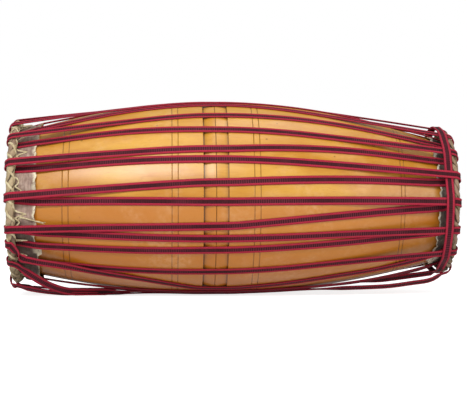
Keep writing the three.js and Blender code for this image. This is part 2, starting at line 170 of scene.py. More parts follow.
BASS_REACH = BASS_HOOP_OVERHANG + BASS_HOOP_RADIUS + SEAT_GAP + STRAP_THICKNESS
TREBLE_REACH = TREBLE_HOOP_OVERHANG + TREBLE_HOOP_RADIUS + SEAT_GAP + STRAP_THICKNESS
BASS_END = BASS_REACH - (SHELL_LENGTH + BASS_REACH + TREBLE_REACH) / 2
TREBLE_END = BASS_END + SHELL_LENGTH
BELLY = BASS_END + BELLY_FROM_BASS_END
BEAD_START = BELLY - BEAD_WIDTH / 2
BEAD_END = BELLY + BEAD_WIDTH / 2

bass = SimpleNamespace(
    toward=-1, end=BASS_END, mouth=BASS_MOUTH_RADIUS, hoop_radius=BASS_HOOP_RADIUS,
    hoop_middle=BASS_END - BASS_HOOP_OVERHANG, flap_lift=BASS_RING_LIFT + BASS_RING_THICKNESS,
    flap_edge=BASS_END + BASS_FLAP, step=BEAD_START,
)
treble = SimpleNamespace(
    toward=1, end=TREBLE_END, mouth=TREBLE_MOUTH_RADIUS, hoop_radius=TREBLE_HOOP_RADIUS,
    hoop_middle=TREBLE_END + TREBLE_HOOP_OVERHANG,
    flap_lift=TREBLE_RING_LIFT + TREBLE_RING_THICKNESS, flap_edge=TREBLE_END - TREBLE_FLAP,
    step=BEAD_END,
)


def bend(side):
    return (BELLY_RADIUS - side.mouth) / (side.end - BELLY) ** 2


def barrel(side, x):
    return BELLY_RADIUS - bend(side) * (x - BELLY) ** 2


def bore(side, x):
    belly_bore = BELLY_RADIUS - BELLY_WALL
    mouth_bore = side.mouth - MOUTH_WALL
    return belly_bore - (belly_bore - mouth_bore) * ((x - BELLY) / (side.end - BELLY)) ** 2


def bowed(x):
    """How far the bowed log lies lower at a place along it than at the belly."""
    side = bass if x < BELLY else treble
    return END_DROP * ((x - BELLY) / (side.end - BELLY)) ** 2


AXIS = barrel(treble, BEAD_END) + SEAT_GAP + STRAP_THICKNESS + bowed(BEAD_END)
for _side in (bass, treble):
    _near = _side.toward * min(_side.toward * _side.hoop_middle, _side.toward * _side.end)
    _slope = 2 * bend(_side) * (_near - BELLY)
    _across = SEAT_GAP + STRAP_THICKNESS + SEAT_GAP + _side.hoop_radius
    _side.hoop_ring = barrel(_side, _near) + _side.flap_lift + _across * math.sqrt(1 + _slope**2)


def on_axis(x, radius, degrees):
    angle = math.radians(degrees)
    return Vector((x, -radius * math.cos(angle), AXIS + radius * math.sin(angle)))


def outward(degrees):
    angle = math.radians(degrees)
    return Vector((0, -math.cos(angle), math.sin(angle)))


def steps(start, stop, count):
    return [start + (stop - start) * i / count for i in range(count + 1)]


def lerp(a, b, share):
    return a + (b - a) * share


def smooth(value, low, high):
    share = min(max((value - low) / (high - low), 0), 1)
    return share * share * (3 - 2 * share)


def turned_from(degrees, place):
    """How far one angle about the axis is from another."""
    return abs((degrees - place + 180) % 360 - 180)


# Camera, at the photograph's angle: level, a little under the axis, turned 3 degrees
CAMERA_TURN = math.radians(3)
CAMERA_DISTANCE = 1.864
CAMERA_AIM = Vector((0.0027, 0, AXIS - 0.0028))
CAMERA_LENS, CAMERA_SENSOR = 102.6, 36


def place_camera():
    along = Vector((math.sin(CAMERA_TURN), math.cos(CAMERA_TURN), 0))
    lens = bpy.data.cameras.new("camera")
    lens.lens, lens.sensor_width = CAMERA_LENS, CAMERA_SENSOR
    camera = bpy.data.objects.new("camera", lens)
    camera.location = CAMERA_AIM - along * CAMERA_DISTANCE
    camera.rotation_euler = along.to_track_quat("-Z", "Y").to_euler()
    bpy.context.collection.objects.link(camera)
    bpy.context.scene.camera = camera


place_camera()
bpy.context.scene.view_settings.view_transform = "Standard"


# Node trees
def put(tree, kind, *values, settings=None, **named):
    """Adds a node, sets its properties and fills or links its inputs, by order or by name."""
    made = tree.nodes.new(kind)
    for key, value in (settings or {}).items():
        setattr(made, key, value)
    for key, value in [*enumerate(values), *named.items()]:
        if value is None:
            continue
        socket = made.inputs[key if isinstance(key, int) else key.replace("_", " ")]
        if isinstance(value, bpy.types.Node):
            value = value.outputs[0]
        if isinstance(value, bpy.types.NodeSocket):
            tree.links.new(value, socket)
        else:
            socket.default_value = value
    return made


def calc(tree, operation, *values):
    return put(tree, "ShaderNodeMath", *values, settings={"operation": operation}).outputs[0]


def vector_calc(tree, operation, *values):
    return put(tree, "ShaderNodeVectorMath", *values, settings={"operation": operation}).outputs[0]


def join_xyz(tree, x, y, z):
    return put(tree, "ShaderNodeCombineXYZ", x, y, z).outputs[0]


def fade(tree, value, low, high, to_low=0.0, to_high=1.0):
    """The value from low to high, eased to run from to_low to to_high."""
    made = put(
        tree, "ShaderNodeMapRange", value, low, high, to_low, to_high,
        settings={"interpolation_type": "SMOOTHSTEP"},
    )
    return made.outputs[0]


def tint(tree, factor, a, b):
    made = put(tree, "ShaderNodeMix", settings={"data_type": "RGBA", "blend_type": "MIX"})
    for index, value in ((0, factor), (6, a), (7, b)):
        if isinstance(value, bpy.types.NodeSocket):
            tree.links.new(value, made.inputs[index])
        else:
            made.inputs[index].default_value = value
    return made.outputs[2]


def grain(tree, where, scale, detail=4.0, roughness=0.55, distortion=0.0):
    made = put(
        tree, "ShaderNodeTexNoise", Vector=where, Scale=scale, Detail=detail,
        Roughness=roughness, Distortion=distortion,
    )
    return made.outputs[0]


def scaled(tree, where, *scale):
    return vector_calc(tree, "MULTIPLY", where, scale)


def paint(code):
    """A colour written as six hexadecimal digits, as the nodes take it."""
    parts = [int(code[i : i + 2], 16) / 255 for i in (0, 2, 4)]
    return (*[c / 12.92 if c <= 0.04045 else ((c + 0.055) / 1.055) ** 2.4 for c in parts], 1.0)


def new_group(name, kind, inputs, outputs):
    group = bpy.data.node_groups.new(name, kind)
    for direction, sockets in (("INPUT", inputs), ("OUTPUT", outputs)):
        for label, form, *default in sockets:
            socket = group.interface.new_socket(
                label, in_out=direction, socket_type="NodeSocket" + form
            )
            if default:
                socket.default_value = default[0]
    start, end = group.nodes.new("NodeGroupInput"), group.nodes.new("NodeGroupOutput")
    return group, start.outputs, end.inputs


def place_group(tree, group, **named):
    made = tree.nodes.new("ShaderNodeGroup")
    made.node_tree = group
    for key, value in named.items():
        socket = made.inputs[key.replace("_", " ")]
        if isinstance(value, bpy.types.NodeSocket):
            tree.links.new(value, socket)
        else:
            socket.default_value = value
    return made.outputs


# Shader groups that several finishes share
def make_dust():
    """Dust and handling marks: soft patches of another colour over the finish."""
    group, into, out = new_group(
        "Handling dust", "ShaderNodeTree",
        [
            ("Where", "Vector"), ("Colour", "Color"), ("Dust", "Color", paint("b9a48c")),
            ("Amount", "Float", 0.3), ("Patch Scale", "Float", 30.0),
        ],
        [("Colour", "Color"), ("Mask", "Float")],
    )
    patches = grain(group, into["Where"], into["Patch Scale"], 5, 0.62)
    fine = grain(group, scaled(group, into["Where"], 9, 9, 9), into["Patch Scale"], 3, 0.6)
    mask = calc(group, "MULTIPLY", fade(group, patches, 0.45, 0.72), fade(group, fine, 0.3, 0.7))
    mask = calc(group, "MULTIPLY", mask, into["Amount"])
    group.links.new(tint(group, mask, into["Colour"], into["Dust"]), out["Colour"])
    group.links.new(mask, out["Mask"])
    return group


def make_hide():
    """Raw hide: cloudy tone, hair follicles and creases, paler where it is cut."""
    group, into, out = new_group(
        "Raw hide", "ShaderNodeTree",
        [
            ("Where", "Vector"), ("Skin", "Color", paint("9a8070")),
            ("Shade", "Color", paint("5c463c")), ("Pale", "Color", paint("d9cdb0")),
            ("Pale Mask", "Float", 0.0), ("Cloud Scale", "Float", 45.0),
            ("Follicle Scale", "Float", 900.0),
        ],
        [("Colour", "Color"), ("Roughness", "Float"), ("Height", "Float")],
    )
    where = into["Where"]
    clouds = grain(group, where, into["Cloud Scale"], 6, 0.62, 0.4)
    streaks = grain(group, scaled(group, where, 6, 1.2, 1.2), into["Cloud Scale"], 4, 0.6, 0.8)
    tone = fade(group, calc(group, "ADD", calc(group, "MULTIPLY", clouds, 0.6),
                            calc(group, "MULTIPLY", streaks, 0.4)), 0.36, 0.64)
    colour = tint(group, tone, into["Shade"], into["Skin"])
    cells = put(group, "ShaderNodeTexVoronoi", Vector=where, Scale=into["Follicle Scale"])
    pores = fade(group, cells.outputs["Distance"], 0.12, 0.34)
    colour = tint(group, fade(group, pores, 0, 1, 0.75, 1.0), into["Shade"], colour)
    pale = calc(group, "MULTIPLY", into["Pale Mask"],
                fade(group, grain(group, where, 260.0, 4, 0.6), 0.28, 0.5))
    pale_tone = tint(group, fade(group, streaks, 0.4, 0.7), into["Pale"], into["Skin"])
    colour = tint(group, pale, colour, tint(group, 0.72, pale_tone, into["Pale"]))
    group.links.new(colour, out["Colour"])
    group.links.new(fade(group, clouds, 0.3, 0.7, 0.5, 0.78), out["Roughness"])
    height = calc(group, "ADD", calc(group, "MULTIPLY", pores, 0.35),
                  calc(group, "ADD", clouds, calc(group, "MULTIPLY", streaks, 0.6)))
    group.links.new(height, out["Height"])
    return group


def make_fibres():
    """Long fine fibres along X, as in wood and straw."""
    group, into, out = new_group(
        "Long fibres", "ShaderNodeTree",
        [("Where", "Vector"), ("Fineness", "Float", 1.0)],
        [("Broad", "Float"), ("Fine", "Float"), ("Pores", "Float")],
    )
    where = vector_calc(group, "SCALE", into["Where"])
    group.links.new(into["Fineness"], where.node.inputs["Scale"])
    group.links.new(grain(group, scaled(group, where, 7, 55, 55), 1.0, 5, 0.6, 0.5), out["Broad"])
    group.links.new(grain(group, scaled(group, where, 26, 620, 620), 1.0, 4, 0.65), out["Fine"])
    dashes = grain(group, scaled(group, where, 110, 1500, 1500), 1.0, 2, 0.5)
    group.links.new(fade(group, dashes, 0.66, 0.74), out["Pores"])
    return group


DUST, HIDE, FIBRES = make_dust(), make_hide(), make_fibres()


# Finishes
def new_finish(name, **constants):
    material = bpy.data.materials.new(name)
    material.use_nodes = True
    tree = material.node_tree
    shader = tree.nodes["Principled BSDF"]
    for key, value in constants.items():
        shader.inputs[key.replace("_", " ")].default_value = value
    where = tree.nodes.new("ShaderNodeTexCoord").outputs["Object"]
    return material, tree, shader.inputs, where


def mark(tree, name):
    """A value that the piece's own mesh carries."""
    made = put(tree, "ShaderNodeAttribute", settings={"attribute_name": name})
    return made.outputs["Fac"]


def raise_surface(tree, height, strength, distance, shader):
    bump = put(tree, "ShaderNodeBump", Strength=strength, Distance=distance, Height=height)
    tree.links.new(bump.outputs[0], shader["Normal"])


def varnished_wood():
    material, tree, shader, where = new_finish(
        "varnished jackfruit wood", Coat_Weight=0.45, Coat_Roughness=0.33, Specular_IOR_Level=0.45,
    )
    fibres = place_group(tree, FIBRES, Where=where, Fineness=1.0)
    patches = grain(tree, scaled(tree, where, 5, 9, 9), 1.0, 4, 0.55, 0.6)
    wide = grain(tree, scaled(tree, where, 14, 26, 26), 1.0, 3, 0.5, 0.3)
    colour = tint(tree, fade(tree, patches, 0.36, 0.64), paint("c6841e"), paint("daa236"))
    colour = tint(tree, fade(tree, wide, 0.48, 0.7, 0.0, 0.55), colour, paint("dfa860"))
    colour = tint(tree, fade(tree, fibres["Broad"], 0.42, 0.7, 0.0, 0.4), colour, paint("b96a1c"))
    colour = tint(tree, fade(tree, fibres["Fine"], 0.5, 0.75, 0.0, 0.28), colour, paint("a55a18"))
    colour = tint(tree, calc(tree, "MULTIPLY", fibres["Pores"], 0.35), colour, paint("7a3d10"))
    # scattered dents, and the dark scored lines with painted shade at the feet of the bead's steps
    specks = put(tree, "ShaderNodeTexVoronoi", Vector=scaled(tree, where, 60, 60, 60), Scale=1.0)
    speck = calc(tree, "MULTIPLY", fade(tree, specks.outputs["Distance"], 0.12, 0.05),
                 fade(tree, grain(tree, where, 40.0, 1), 0.5, 0.62))
    colour = tint(tree, calc(tree, "MULTIPLY", speck, 0.6), colour, paint("6b3812"))
    # painted shade: the wood is tinted darker and more orange towards the underside
    height = put(tree, "ShaderNodeSeparateXYZ", where).outputs[2]
    under = fade(tree, calc(tree, "SUBTRACT", AXIS, height), -0.012, 0.018, 0.0, 0.8)
    colour = tint(tree, under, colour, paint("be7010"))
    # the scored lines are darker, and the same mark paints shade at the feet of the bead's steps and
    # darkens the bore
    line = mark(tree, "turned_line")
    worn = fade(tree, grain(tree, scaled(tree, where, 30, 30, 30), 1.0, 3), 0.2, 0.6, 0.65, 1.0)
    colour = tint(tree, calc(tree, "MULTIPLY", line, worn), colour, paint("4a2a08"))
    dusted = place_group(tree, DUST, Where=where, Colour=colour, Dust=paint("efc79a"),
                         Amount=0.26, Patch_Scale=16.0)
    tree.links.new(dusted["Colour"], shader["Base Color"])
    rough = calc(tree, "ADD", fade(tree, patches, 0.3, 0.7, 0.3, 0.42),
                 calc(tree, "MULTIPLY", dusted["Mask"], 0.2))
    tree.links.new(rough, shader["Roughness"])
    lathe = grain(tree, scaled(tree, where, 900, 3, 3), 1.0, 2)
    height = calc(tree, "ADD", calc(tree, "MULTIPLY", fibres["Fine"], 0.5), lathe)
    height = calc(tree, "SUBTRACT", height, calc(tree, "MULTIPLY", speck, 2.0))
    raise_surface(tree, height, 0.12, 0.0004, shader)
    return material


def woven_strap():
    material, tree, shader, where = new_finish(
        "crimson webbing", Roughness=0.62, Sheen_Weight=0.02, Sheen_Roughness=0.4,
        Specular_IOR_Level=0.15,
    )
    across, rib, along = mark(tree, "strap_across"), mark(tree, "strap_rib"), mark(tree, "strap_along")
    side = calc(tree, "ABSOLUTE", across)
    stripe = fade(tree, side, 0.5, 0.42)
    # the ribs of the stripe, and the twill of the two edges
    ribs = tint(tree, fade(tree, rib, 0.3, 0.75), paint("1a0609"), paint("4c1720"))
    # the weave packs the ribs in bars, plainer in some stretches than in others
    bars = calc(tree, "SINE", calc(tree, "MULTIPLY", along, math.tau / 0.0030))
    plain = fade(tree, grain(tree, scaled(tree, where, 9, 9, 9), 1.0, 2), 0.42, 0.6, 0.1, 0.75)
    ribs = tint(tree, calc(tree, "MULTIPLY", fade(tree, bars, -0.1, 0.5), plain), ribs,
                paint("742c3c"))
    twill = calc(tree, "SINE", calc(tree, "ADD", calc(tree, "MULTIPLY", along, 5200.0),
                                    calc(tree, "MULTIPLY", side, 26.0)))
    edge = tint(tree, fade(tree, twill, -0.6, 0.9), paint("931a2e"), paint("c23249"))
    edge = tint(tree, fade(tree, side, 0.86, 1.0, 0.0, 0.6), edge, paint("4c0818"))
    colour = tint(tree, stripe, edge, ribs)
    worn = grain(tree, scaled(tree, where, 40, 40, 40), 1.0, 4)
    colour = tint(tree, fade(tree, worn, 0.5, 0.75, 0.0, 0.3), colour, paint("6a2434"))
    dusted = place_group(tree, DUST, Where=where, Colour=colour, Dust=paint("8a3a48"),
                         Amount=0.12, Patch_Scale=50.0)
    tree.links.new(dusted["Colour"], shader["Base Color"])
    threads = calc(tree, "ADD", calc(tree, "MULTIPLY", twill, 0.3), rib)
    fuzz = grain(tree, scaled(tree, where, 2600, 2600, 2600), 1.0, 2)
    raise_surface(tree, calc(tree, "ADD", threads, fuzz), 0.5, 0.0003, shader)
    return material


def raw_hide(name, skin, shade, pale, cloud=45.0, follicles=900.0, bump=0.5, twisted=None,
             painted_low_shade=0.0):
    material, tree, shader, where = new_finish(name, Specular_IOR_Level=0.4)
    hide = place_group(tree, HIDE, Where=where, Skin=paint(skin), Shade=paint(shade),
                       Pale=paint(pale), Pale_Mask=mark(tree, "cut_edge"), Cloud_Scale=cloud,
                       Follicle_Scale=follicles)
    dusted = place_group(tree, DUST, Where=where, Colour=hide["Colour"], Dust=paint("c9bfa9"),
                         Amount=0.35, Patch_Scale=60.0)
    colour = dusted["Colour"]
    if painted_low_shade:
        # painted shade: darker low on the drum, but the cut edges stay pale
        height = put(tree, "ShaderNodeSeparateXYZ", where).outputs[2]
        low = fade(tree, calc(tree, "SUBTRACT", AXIS, height), 0.022, 0.055, 0.0, painted_low_shade)
        low = calc(tree, "MULTIPLY", low, fade(tree, mark(tree, "cut_edge"), 0.0, 1.0, 1.0, 0.25))
        colour = tint(tree, low, colour, paint("2e1f18"))
    if twisted:
        # each thong of a twisted rope has its own tone, and painted shade darkens the valleys between
        # them
        tone = fade(tree, mark(tree, "strand_tone"), 0.35, 0.65)
        colour = tint(tree, calc(tree, "MULTIPLY", tone, 0.75), colour, paint(twisted))
        valley_shade = fade(tree, mark(tree, "strand_crest"), 0.55, -0.2)
        colour = tint(tree, calc(tree, "MULTIPLY", valley_shade, 0.85), colour, paint("2a1c12"))
    tree.links.new(colour, shader["Base Color"])
    tree.links.new(hide["Roughness"], shader["Roughness"])
    raise_surface(tree, hide["Height"], bump, 0.0006, shader)
    return material


def tuning_paste():
    material, tree, shader, where = new_finish("black tuning paste", Specular_IOR_Level=0.4)
    cells = put(tree, "ShaderNodeTexVoronoi", Vector=scaled(tree, where, 420, 420, 420), Scale=1.0,
                settings={"feature": "DISTANCE_TO_EDGE"})
    crack = fade(tree, cells.outputs["Distance"], 0.0, 0.09)
    tone = grain(tree, where, 90.0, 5, 0.6)
    colour = tint(tree, fade(tree, tone, 0.35, 0.7), paint("0f0d0b"), paint("2a2622"))
    colour = tint(tree, calc(tree, "SUBTRACT", 1.0, crack), colour, paint("4a4138"))
    dusted = place_group(tree, DUST, Where=where, Colour=colour, Dust=paint("7b7268"),
                         Amount=0.3, Patch_Scale=80.0)
    tree.links.new(dusted["Colour"], shader["Base Color"])
    tree.links.new(fade(tree, tone, 0.3, 0.7, 0.62, 0.85), shader["Roughness"])
    raise_surface(tree, calc(tree, "ADD", crack, tone), 0.6, 0.0004, shader)
    return material


def dry_straw():
    material, tree, shader, where = new_finish("dry straw", Roughness=0.5)
    tone = grain(tree, scaled(tree, where, 60, 60, 60), 1.0, 5, 0.6)
    fibres = place_group(tree, FIBRES, Where=where, Fineness=1.4)
    colour = tint(tree, fade(tree, tone, 0.35, 0.65), paint("b79a4e"), paint("dcc583"))
    colour = tint(tree, calc(tree, "MULTIPLY", fibres["Fine"], 0.4), colour, paint("8a7136"))
    tree.links.new(colour, shader["Base Color"])
    raise_surface(tree, fibres["Fine"], 0.3, 0.0003, shader)
    return material


WOOD = varnished_wood()
WEBBING = woven_strap()
# painted_low_shade: how strongly painted shade darkens each finish low on the drum
RING_HIDE = raw_hide("ring hide", "c4a898", "84695c", "efe4c4", painted_low_shade=0.8)
TREBLE_HIDE = raw_hide("treble ring hide", "5a4a42", "2c211d", "e8dfc8")
PLAYING_SKIN = raw_hide("playing skin", "d8c49a", "a98c62", "e6dcc2", 30.0, 1500.0, 0.25)
RAWHIDE = raw_hide("rawhide thongs", "b39a74", "5f4a30", "e5dcc0", 120.0, 1400.0, 0.6, "a2826e",
                   painted_low_shade=0.4)
BASS_RAWHIDE = raw_hide("brown rawhide thongs", "a5866e", "64493a", "e5dcc0", 120.0, 1400.0, 0.7,
                        "c9b58c", painted_low_shade=0.6)
CREAM_THONG = raw_hide("cream thongs", "e2d6ae", "b39d74", "efe6c8", 160.0, 1600.0, 0.5)
PASTE = tuning_paste()
STRAW = dry_straw()


# Geometry trees
WELD = 0.00001


def shape_curve(tree, value, corners):
    """A value read off a line through the corners."""
    made = put(tree, "ShaderNodeFloatCurve", 1.0, value)
    points = made.mapping.curves[0].points
    points[0].location, points[1].location = corners[0], corners[-1]
    for corner in corners[1:-1]:
        points.new(*corner)
    for point in points:
        point.handle_type = "VECTOR"
    made.mapping.update()
    return made.outputs[0]


def store_value(tree, geometry, name, value, form="FLOAT"):
    """Keeps a value on every point, under a name."""
    made = put(tree, "GeometryNodeStoreNamedAttribute", geometry, None, name,
               settings={"data_type": form, "domain": "POINT"})
    tree.links.new(value, made.inputs["Value"])
    return made


def stored_value(tree, name, form="FLOAT"):
    made = put(tree, "GeometryNodeInputNamedAttribute", name, settings={"data_type": form})
    return made.outputs[0]


def round_section(tree, sides, radius):
    return put(tree, "GeometryNodeCurvePrimitiveCircle", sides, Radius=radius,
               settings={"mode": "RADIUS"})


def flat_section(tree, section, thickness, width):
    """Squeezes a round section of one across to a strip's thickness and width."""
    shape = vector_calc(tree, "MULTIPLY", put(tree, "GeometryNodeInputPosition"),
                        join_xyz(tree, thickness, width, 0.0))
    return put(tree, "GeometryNodeSetPosition", section, None, shape)


def face_outward(tree, curve):
    """Turns the curve's normals the way that its points say."""
    normal = stored_value(tree, "outward", "FLOAT_VECTOR")
    return put(tree, "GeometryNodeSetCurveNormal", curve, None, normal, settings={"mode": "FREE"})


def push_out(tree, solid, lift):
    """Moves a surface out along its own normals."""
    offset = vector_calc(tree, "SCALE", put(tree, "GeometryNodeInputNormal"))
    tree.links.new(lift, offset.node.inputs["Scale"])
    return put(tree, "GeometryNodeSetPosition", solid, Offset=offset)


def wrinkle(tree, solid, into, fineness):
    """Wrinkles the surface of a thong."""
    seat = vector_calc(tree, "ADD", put(tree, "GeometryNodeInputPosition"),
                       join_xyz(tree, into["Seed"], 0.0, 0.0))
    folds = grain(tree, seat, fineness, 3, 0.6, 0.5)
    lift = calc(tree, "MULTIPLY", calc(tree, "SUBTRACT", folds, 0.5), into["Wrinkle"])
    return push_out(tree, solid, calc(tree, "MULTIPLY", lift, 2.0))


def finish_solid(tree, solid, into, out):
    """Ends a tree with plain geometry in its finish."""
    finished = put(tree, "GeometryNodeSetMaterial", solid, Material=into["Finish"])
    tree.links.new(put(tree, "GeometryNodeRealizeInstances", finished).outputs[0], out[0])


def make_turning_tree():
    """Turns an outline of (x, radius) points about the drum's axis into a closed solid."""
    tree, into, out = new_group(
        "Turned solid", "GeometryNodeTree",
        [
            ("Outline", "Geometry"), ("Sides", "Int", 96), ("Axis Height", "Float", 0.13),
            ("Finish", "Material"),
        ],
        [("Geometry", "Geometry")],
    )
    count = put(tree, "GeometryNodeAttributeDomainSize", into["Outline"],
                settings={"component": "MESH"}).outputs["Point Count"]
    ring = calc(tree, "ADD", into["Sides"], 1.0)
    grid = put(tree, "GeometryNodeMeshGrid", Vertices_X=count, Vertices_Y=ring)
    index = put(tree, "GeometryNodeInputIndex")
    station = calc(tree, "FLOOR", calc(tree, "DIVIDE", calc(tree, "ADD", index, 0.5), ring))
    turn = calc(tree, "SUBTRACT", index, calc(tree, "MULTIPLY", station, ring))
    turn = calc(tree, "DIVIDE", calc(tree, "MULTIPLY", turn, math.tau), into["Sides"])

    def from_outline(value, form):
        made = put(tree, "GeometryNodeSampleIndex", into["Outline"], settings={"data_type": form})
        tree.links.new(value, made.inputs["Value"])
        tree.links.new(station, made.inputs["Index"])
        return made.outputs[0]

    place = from_outline(put(tree, "GeometryNodeInputPosition").outputs[0], "FLOAT_VECTOR")
    split = put(tree, "ShaderNodeSeparateXYZ", place).outputs
    y = calc(tree, "MULTIPLY", split[2], calc(tree, "COSINE", turn))
    z = calc(tree, "MULTIPLY", split[2], calc(tree, "SINE", turn))
    place = join_xyz(tree, split[0], calc(tree, "MULTIPLY", y, -1.0),
                     calc(tree, "ADD", z, into["Axis Height"]))
    line = from_outline(stored_value(tree, "turned_line"), "FLOAT")
    kept = store_value(tree, grid, "turned_line", line)
    moved = put(tree, "GeometryNodeSetPosition", kept, None, place)
    finish_solid(tree, put(tree, "GeometryNodeMergeByDistance", moved, Distance=WELD), into, out)
    return tree


def make_webbing_tree():
    """Woven strap along a route: two round edges and a ribbed stripe between them."""
    tree, into, out = new_group(
        "Woven strap", "GeometryNodeTree",
        [
            ("Route", "Geometry"), ("Width", "Float", STRAP_WIDTH),
            ("Thickness", "Float", CORD_THICKNESS), ("Rib Pitch", "Float", RIB_PITCH),
            ("Rib Height", "Float", RIB_HEIGHT), ("Finish", "Material"),
        ],
        [("Geometry", "Geometry")],
    )
    curve = put(tree, "GeometryNodeMeshToCurve", into["Route"])
    half_pitch = calc(tree, "MULTIPLY", into["Rib Pitch"], 0.5)
    curve = put(tree, "GeometryNodeResampleCurve", curve, Length=half_pitch,
                settings={"mode": "LENGTH"})
    curve = face_outward(tree, curve)
    parameter = put(tree, "GeometryNodeSplineParameter")
    curve = store_value(tree, curve, "strap_along", parameter.outputs["Length"])
    parity = calc(tree, "MODULO", parameter.outputs["Index"], 2.0)
    curve = store_value(tree, curve, "strap_rib", parity)
    # the section: X is the thickness, Y the width; a thin stripe between two round cords
    section = round_section(tree, 20, 1.0)
    split = put(tree, "ShaderNodeSeparateXYZ", put(tree, "GeometryNodeInputPosition")).outputs
    out_there = calc(tree, "ABSOLUTE", split[1])
    spread = shape_curve(tree, out_there, [(0, 0), (0.309, 0.25), (0.588, 0.46), (0.809, 0.64),
                                           (0.951, 0.87), (1, 1)])
    height = shape_curve(tree, out_there, [(0, 0.55), (0.309, 0.55), (0.588, 0.45),
                                           (0.809, 0.97), (0.951, 0.86), (1, 0)])
    across = calc(tree, "MULTIPLY", calc(tree, "SIGN", split[1]), spread)
    section = store_value(tree, section, "strap_across", across)
    thick = calc(tree, "MULTIPLY", calc(tree, "MULTIPLY", calc(tree, "SIGN", split[0]), height),
                 calc(tree, "MULTIPLY", into["Thickness"], 0.5))
    across = stored_value(tree, "strap_across")
    wide = calc(tree, "MULTIPLY", across, calc(tree, "MULTIPLY", into["Width"], 0.5))
    section = put(tree, "GeometryNodeSetPosition", section, None, join_xyz(tree, thick, wide, 0.0))
    swept = put(tree, "GeometryNodeCurveToMesh", curve, section, Fill_Caps=True)
    # every other ring of the stripe stands up as a rib
    stripe = fade(tree, calc(tree, "ABSOLUTE", stored_value(tree, "strap_across")), 0.55, 0.4)
    lift = calc(tree, "MULTIPLY", calc(tree, "MULTIPLY", stored_value(tree, "strap_rib"), stripe),
                into["Rib Height"])
    finish_solid(tree, push_out(tree, swept, lift), into, out)
    return tree


def make_hoop_tree():
    """A rope of flat thongs twisted together and closed into a ring about the drum's axis."""
    tree, into, out = new_group(
        "Twisted hoop", "GeometryNodeTree",
        [
            ("Base", "Geometry"), ("Ring Radius", "Float", 0.1), ("Middle", "Float", 0.0),
            ("Axis Height", "Float", 0.13), ("Lay Radius", "Float", 0.003),
            ("Strands", "Int", 3), ("Twists", "Int", 14), ("Strand Width", "Float", 0.008),
            ("Strand Thickness", "Float", 0.005), ("Wrinkle", "Float", 0.0006),
            ("Points", "Int", 720), ("Section Sides", "Int", 14), ("Seed", "Float", 0.0),
            ("Finish", "Material"),
        ],
        [("Geometry", "Geometry")],
    )
    strands = put(tree, "GeometryNodeDuplicateElements", round_section(tree, into["Points"], 1.0),
                  Amount=into["Strands"], settings={"domain": "SPLINE"})
    order = strands.outputs["Duplicate Index"]
    phi = calc(tree, "MULTIPLY",
               put(tree, "GeometryNodeSplineParameter").outputs["Factor"], math.tau)
    lay = calc(tree, "DIVIDE", calc(tree, "MULTIPLY", order, math.tau), into["Strands"])
    psi = calc(tree, "ADD", calc(tree, "MULTIPLY", phi, into["Twists"]), lay)
    cos_phi, sin_phi = calc(tree, "COSINE", phi), calc(tree, "SINE", phi)
    sway = put(tree, "ShaderNodeTexNoise", Vector=join_xyz(tree, cos_phi, sin_phi, 0.0),
               W=calc(tree, "ADD", lay, into["Seed"]), Scale=9.0, Detail=1.0,
               settings={"noise_dimensions": "4D"})
    psi = calc(tree, "ADD", psi, fade(tree, sway, 0.2, 0.8, -0.45, 0.45))
    cos_psi, sin_psi = calc(tree, "COSINE", psi), calc(tree, "SINE", psi)
    radius = calc(tree, "ADD", into["Ring Radius"],
                  calc(tree, "MULTIPLY", cos_psi, into["Lay Radius"]))
    place = join_xyz(
        tree,
        calc(tree, "ADD", into["Middle"], calc(tree, "MULTIPLY", sin_psi, into["Lay Radius"])),
        calc(tree, "MULTIPLY", calc(tree, "MULTIPLY", radius, cos_phi), -1.0),
        calc(tree, "ADD", into["Axis Height"], calc(tree, "MULTIPLY", radius, sin_phi)),
    )
    out_of = join_xyz(tree, sin_psi,
                      calc(tree, "MULTIPLY", calc(tree, "MULTIPLY", cos_psi, cos_phi), -1.0),
                      calc(tree, "MULTIPLY", cos_psi, sin_phi))
    # both are stored before the points move, because they are worked out from where the points are
    curve = store_value(tree, strands, "outward", out_of, "FLOAT_VECTOR")
    curve = store_value(tree, curve, "lay_place", place, "FLOAT_VECTOR")
    curve = put(tree, "GeometryNodeSetPosition", curve, None,
                stored_value(tree, "lay_place", "FLOAT_VECTOR"))
    curve = face_outward(tree, curve)
    tone = put(tree, "ShaderNodeTexNoise", Vector=join_xyz(tree, cos_phi, sin_phi, into["Seed"]),
               W=calc(tree, "MULTIPLY", lay, 7.3), Scale=2.2, Detail=2.0,
               settings={"noise_dimensions": "4D"})
    curve = store_value(tree, curve, "strand_tone", tone.outputs[0])
    split = put(tree, "ShaderNodeSeparateXYZ", put(tree, "GeometryNodeInputPosition")).outputs
    section = store_value(tree, round_section(tree, into["Section Sides"], 0.5), "strand_crest",
                          calc(tree, "MULTIPLY", split[0], 2.0))
    section = flat_section(tree, section, into["Strand Thickness"], into["Strand Width"])
    swept = put(tree, "GeometryNodeCurveToMesh", curve, section, Fill_Caps=False)
    finish_solid(tree, wrinkle(tree, swept, into, 420.0), into, out)
    return tree


def make_thong_tree():
    """Thongs of raw hide along routes: flat, wrinkled, thinner where the route says so."""
    tree, into, out = new_group(
        "Hide thong", "GeometryNodeTree",
        [
            ("Routes", "Geometry"), ("Width", "Float", 0.003), ("Thickness", "Float", 0.001),
            ("Wrinkle", "Float", 0.0004), ("Seed", "Float", 0.0), ("Finish", "Material"),
        ],
        [("Geometry", "Geometry")],
    )
    curve = put(tree, "GeometryNodeMeshToCurve", into["Routes"])
    curve = put(tree, "GeometryNodeResampleCurve", curve, Length=0.0008,
                settings={"mode": "LENGTH"})
    size = stored_value(tree, "size")
    curve = face_outward(tree, put(tree, "GeometryNodeSetCurveRadius", curve, None, size))
    section = flat_section(tree, round_section(tree, 10, 0.5), into["Thickness"], into["Width"])
    swept = put(tree, "GeometryNodeCurveToMesh", curve, section, Scale=size, Fill_Caps=True)
    finish_solid(tree, wrinkle(tree, swept, into, 620.0), into, out)
    return tree


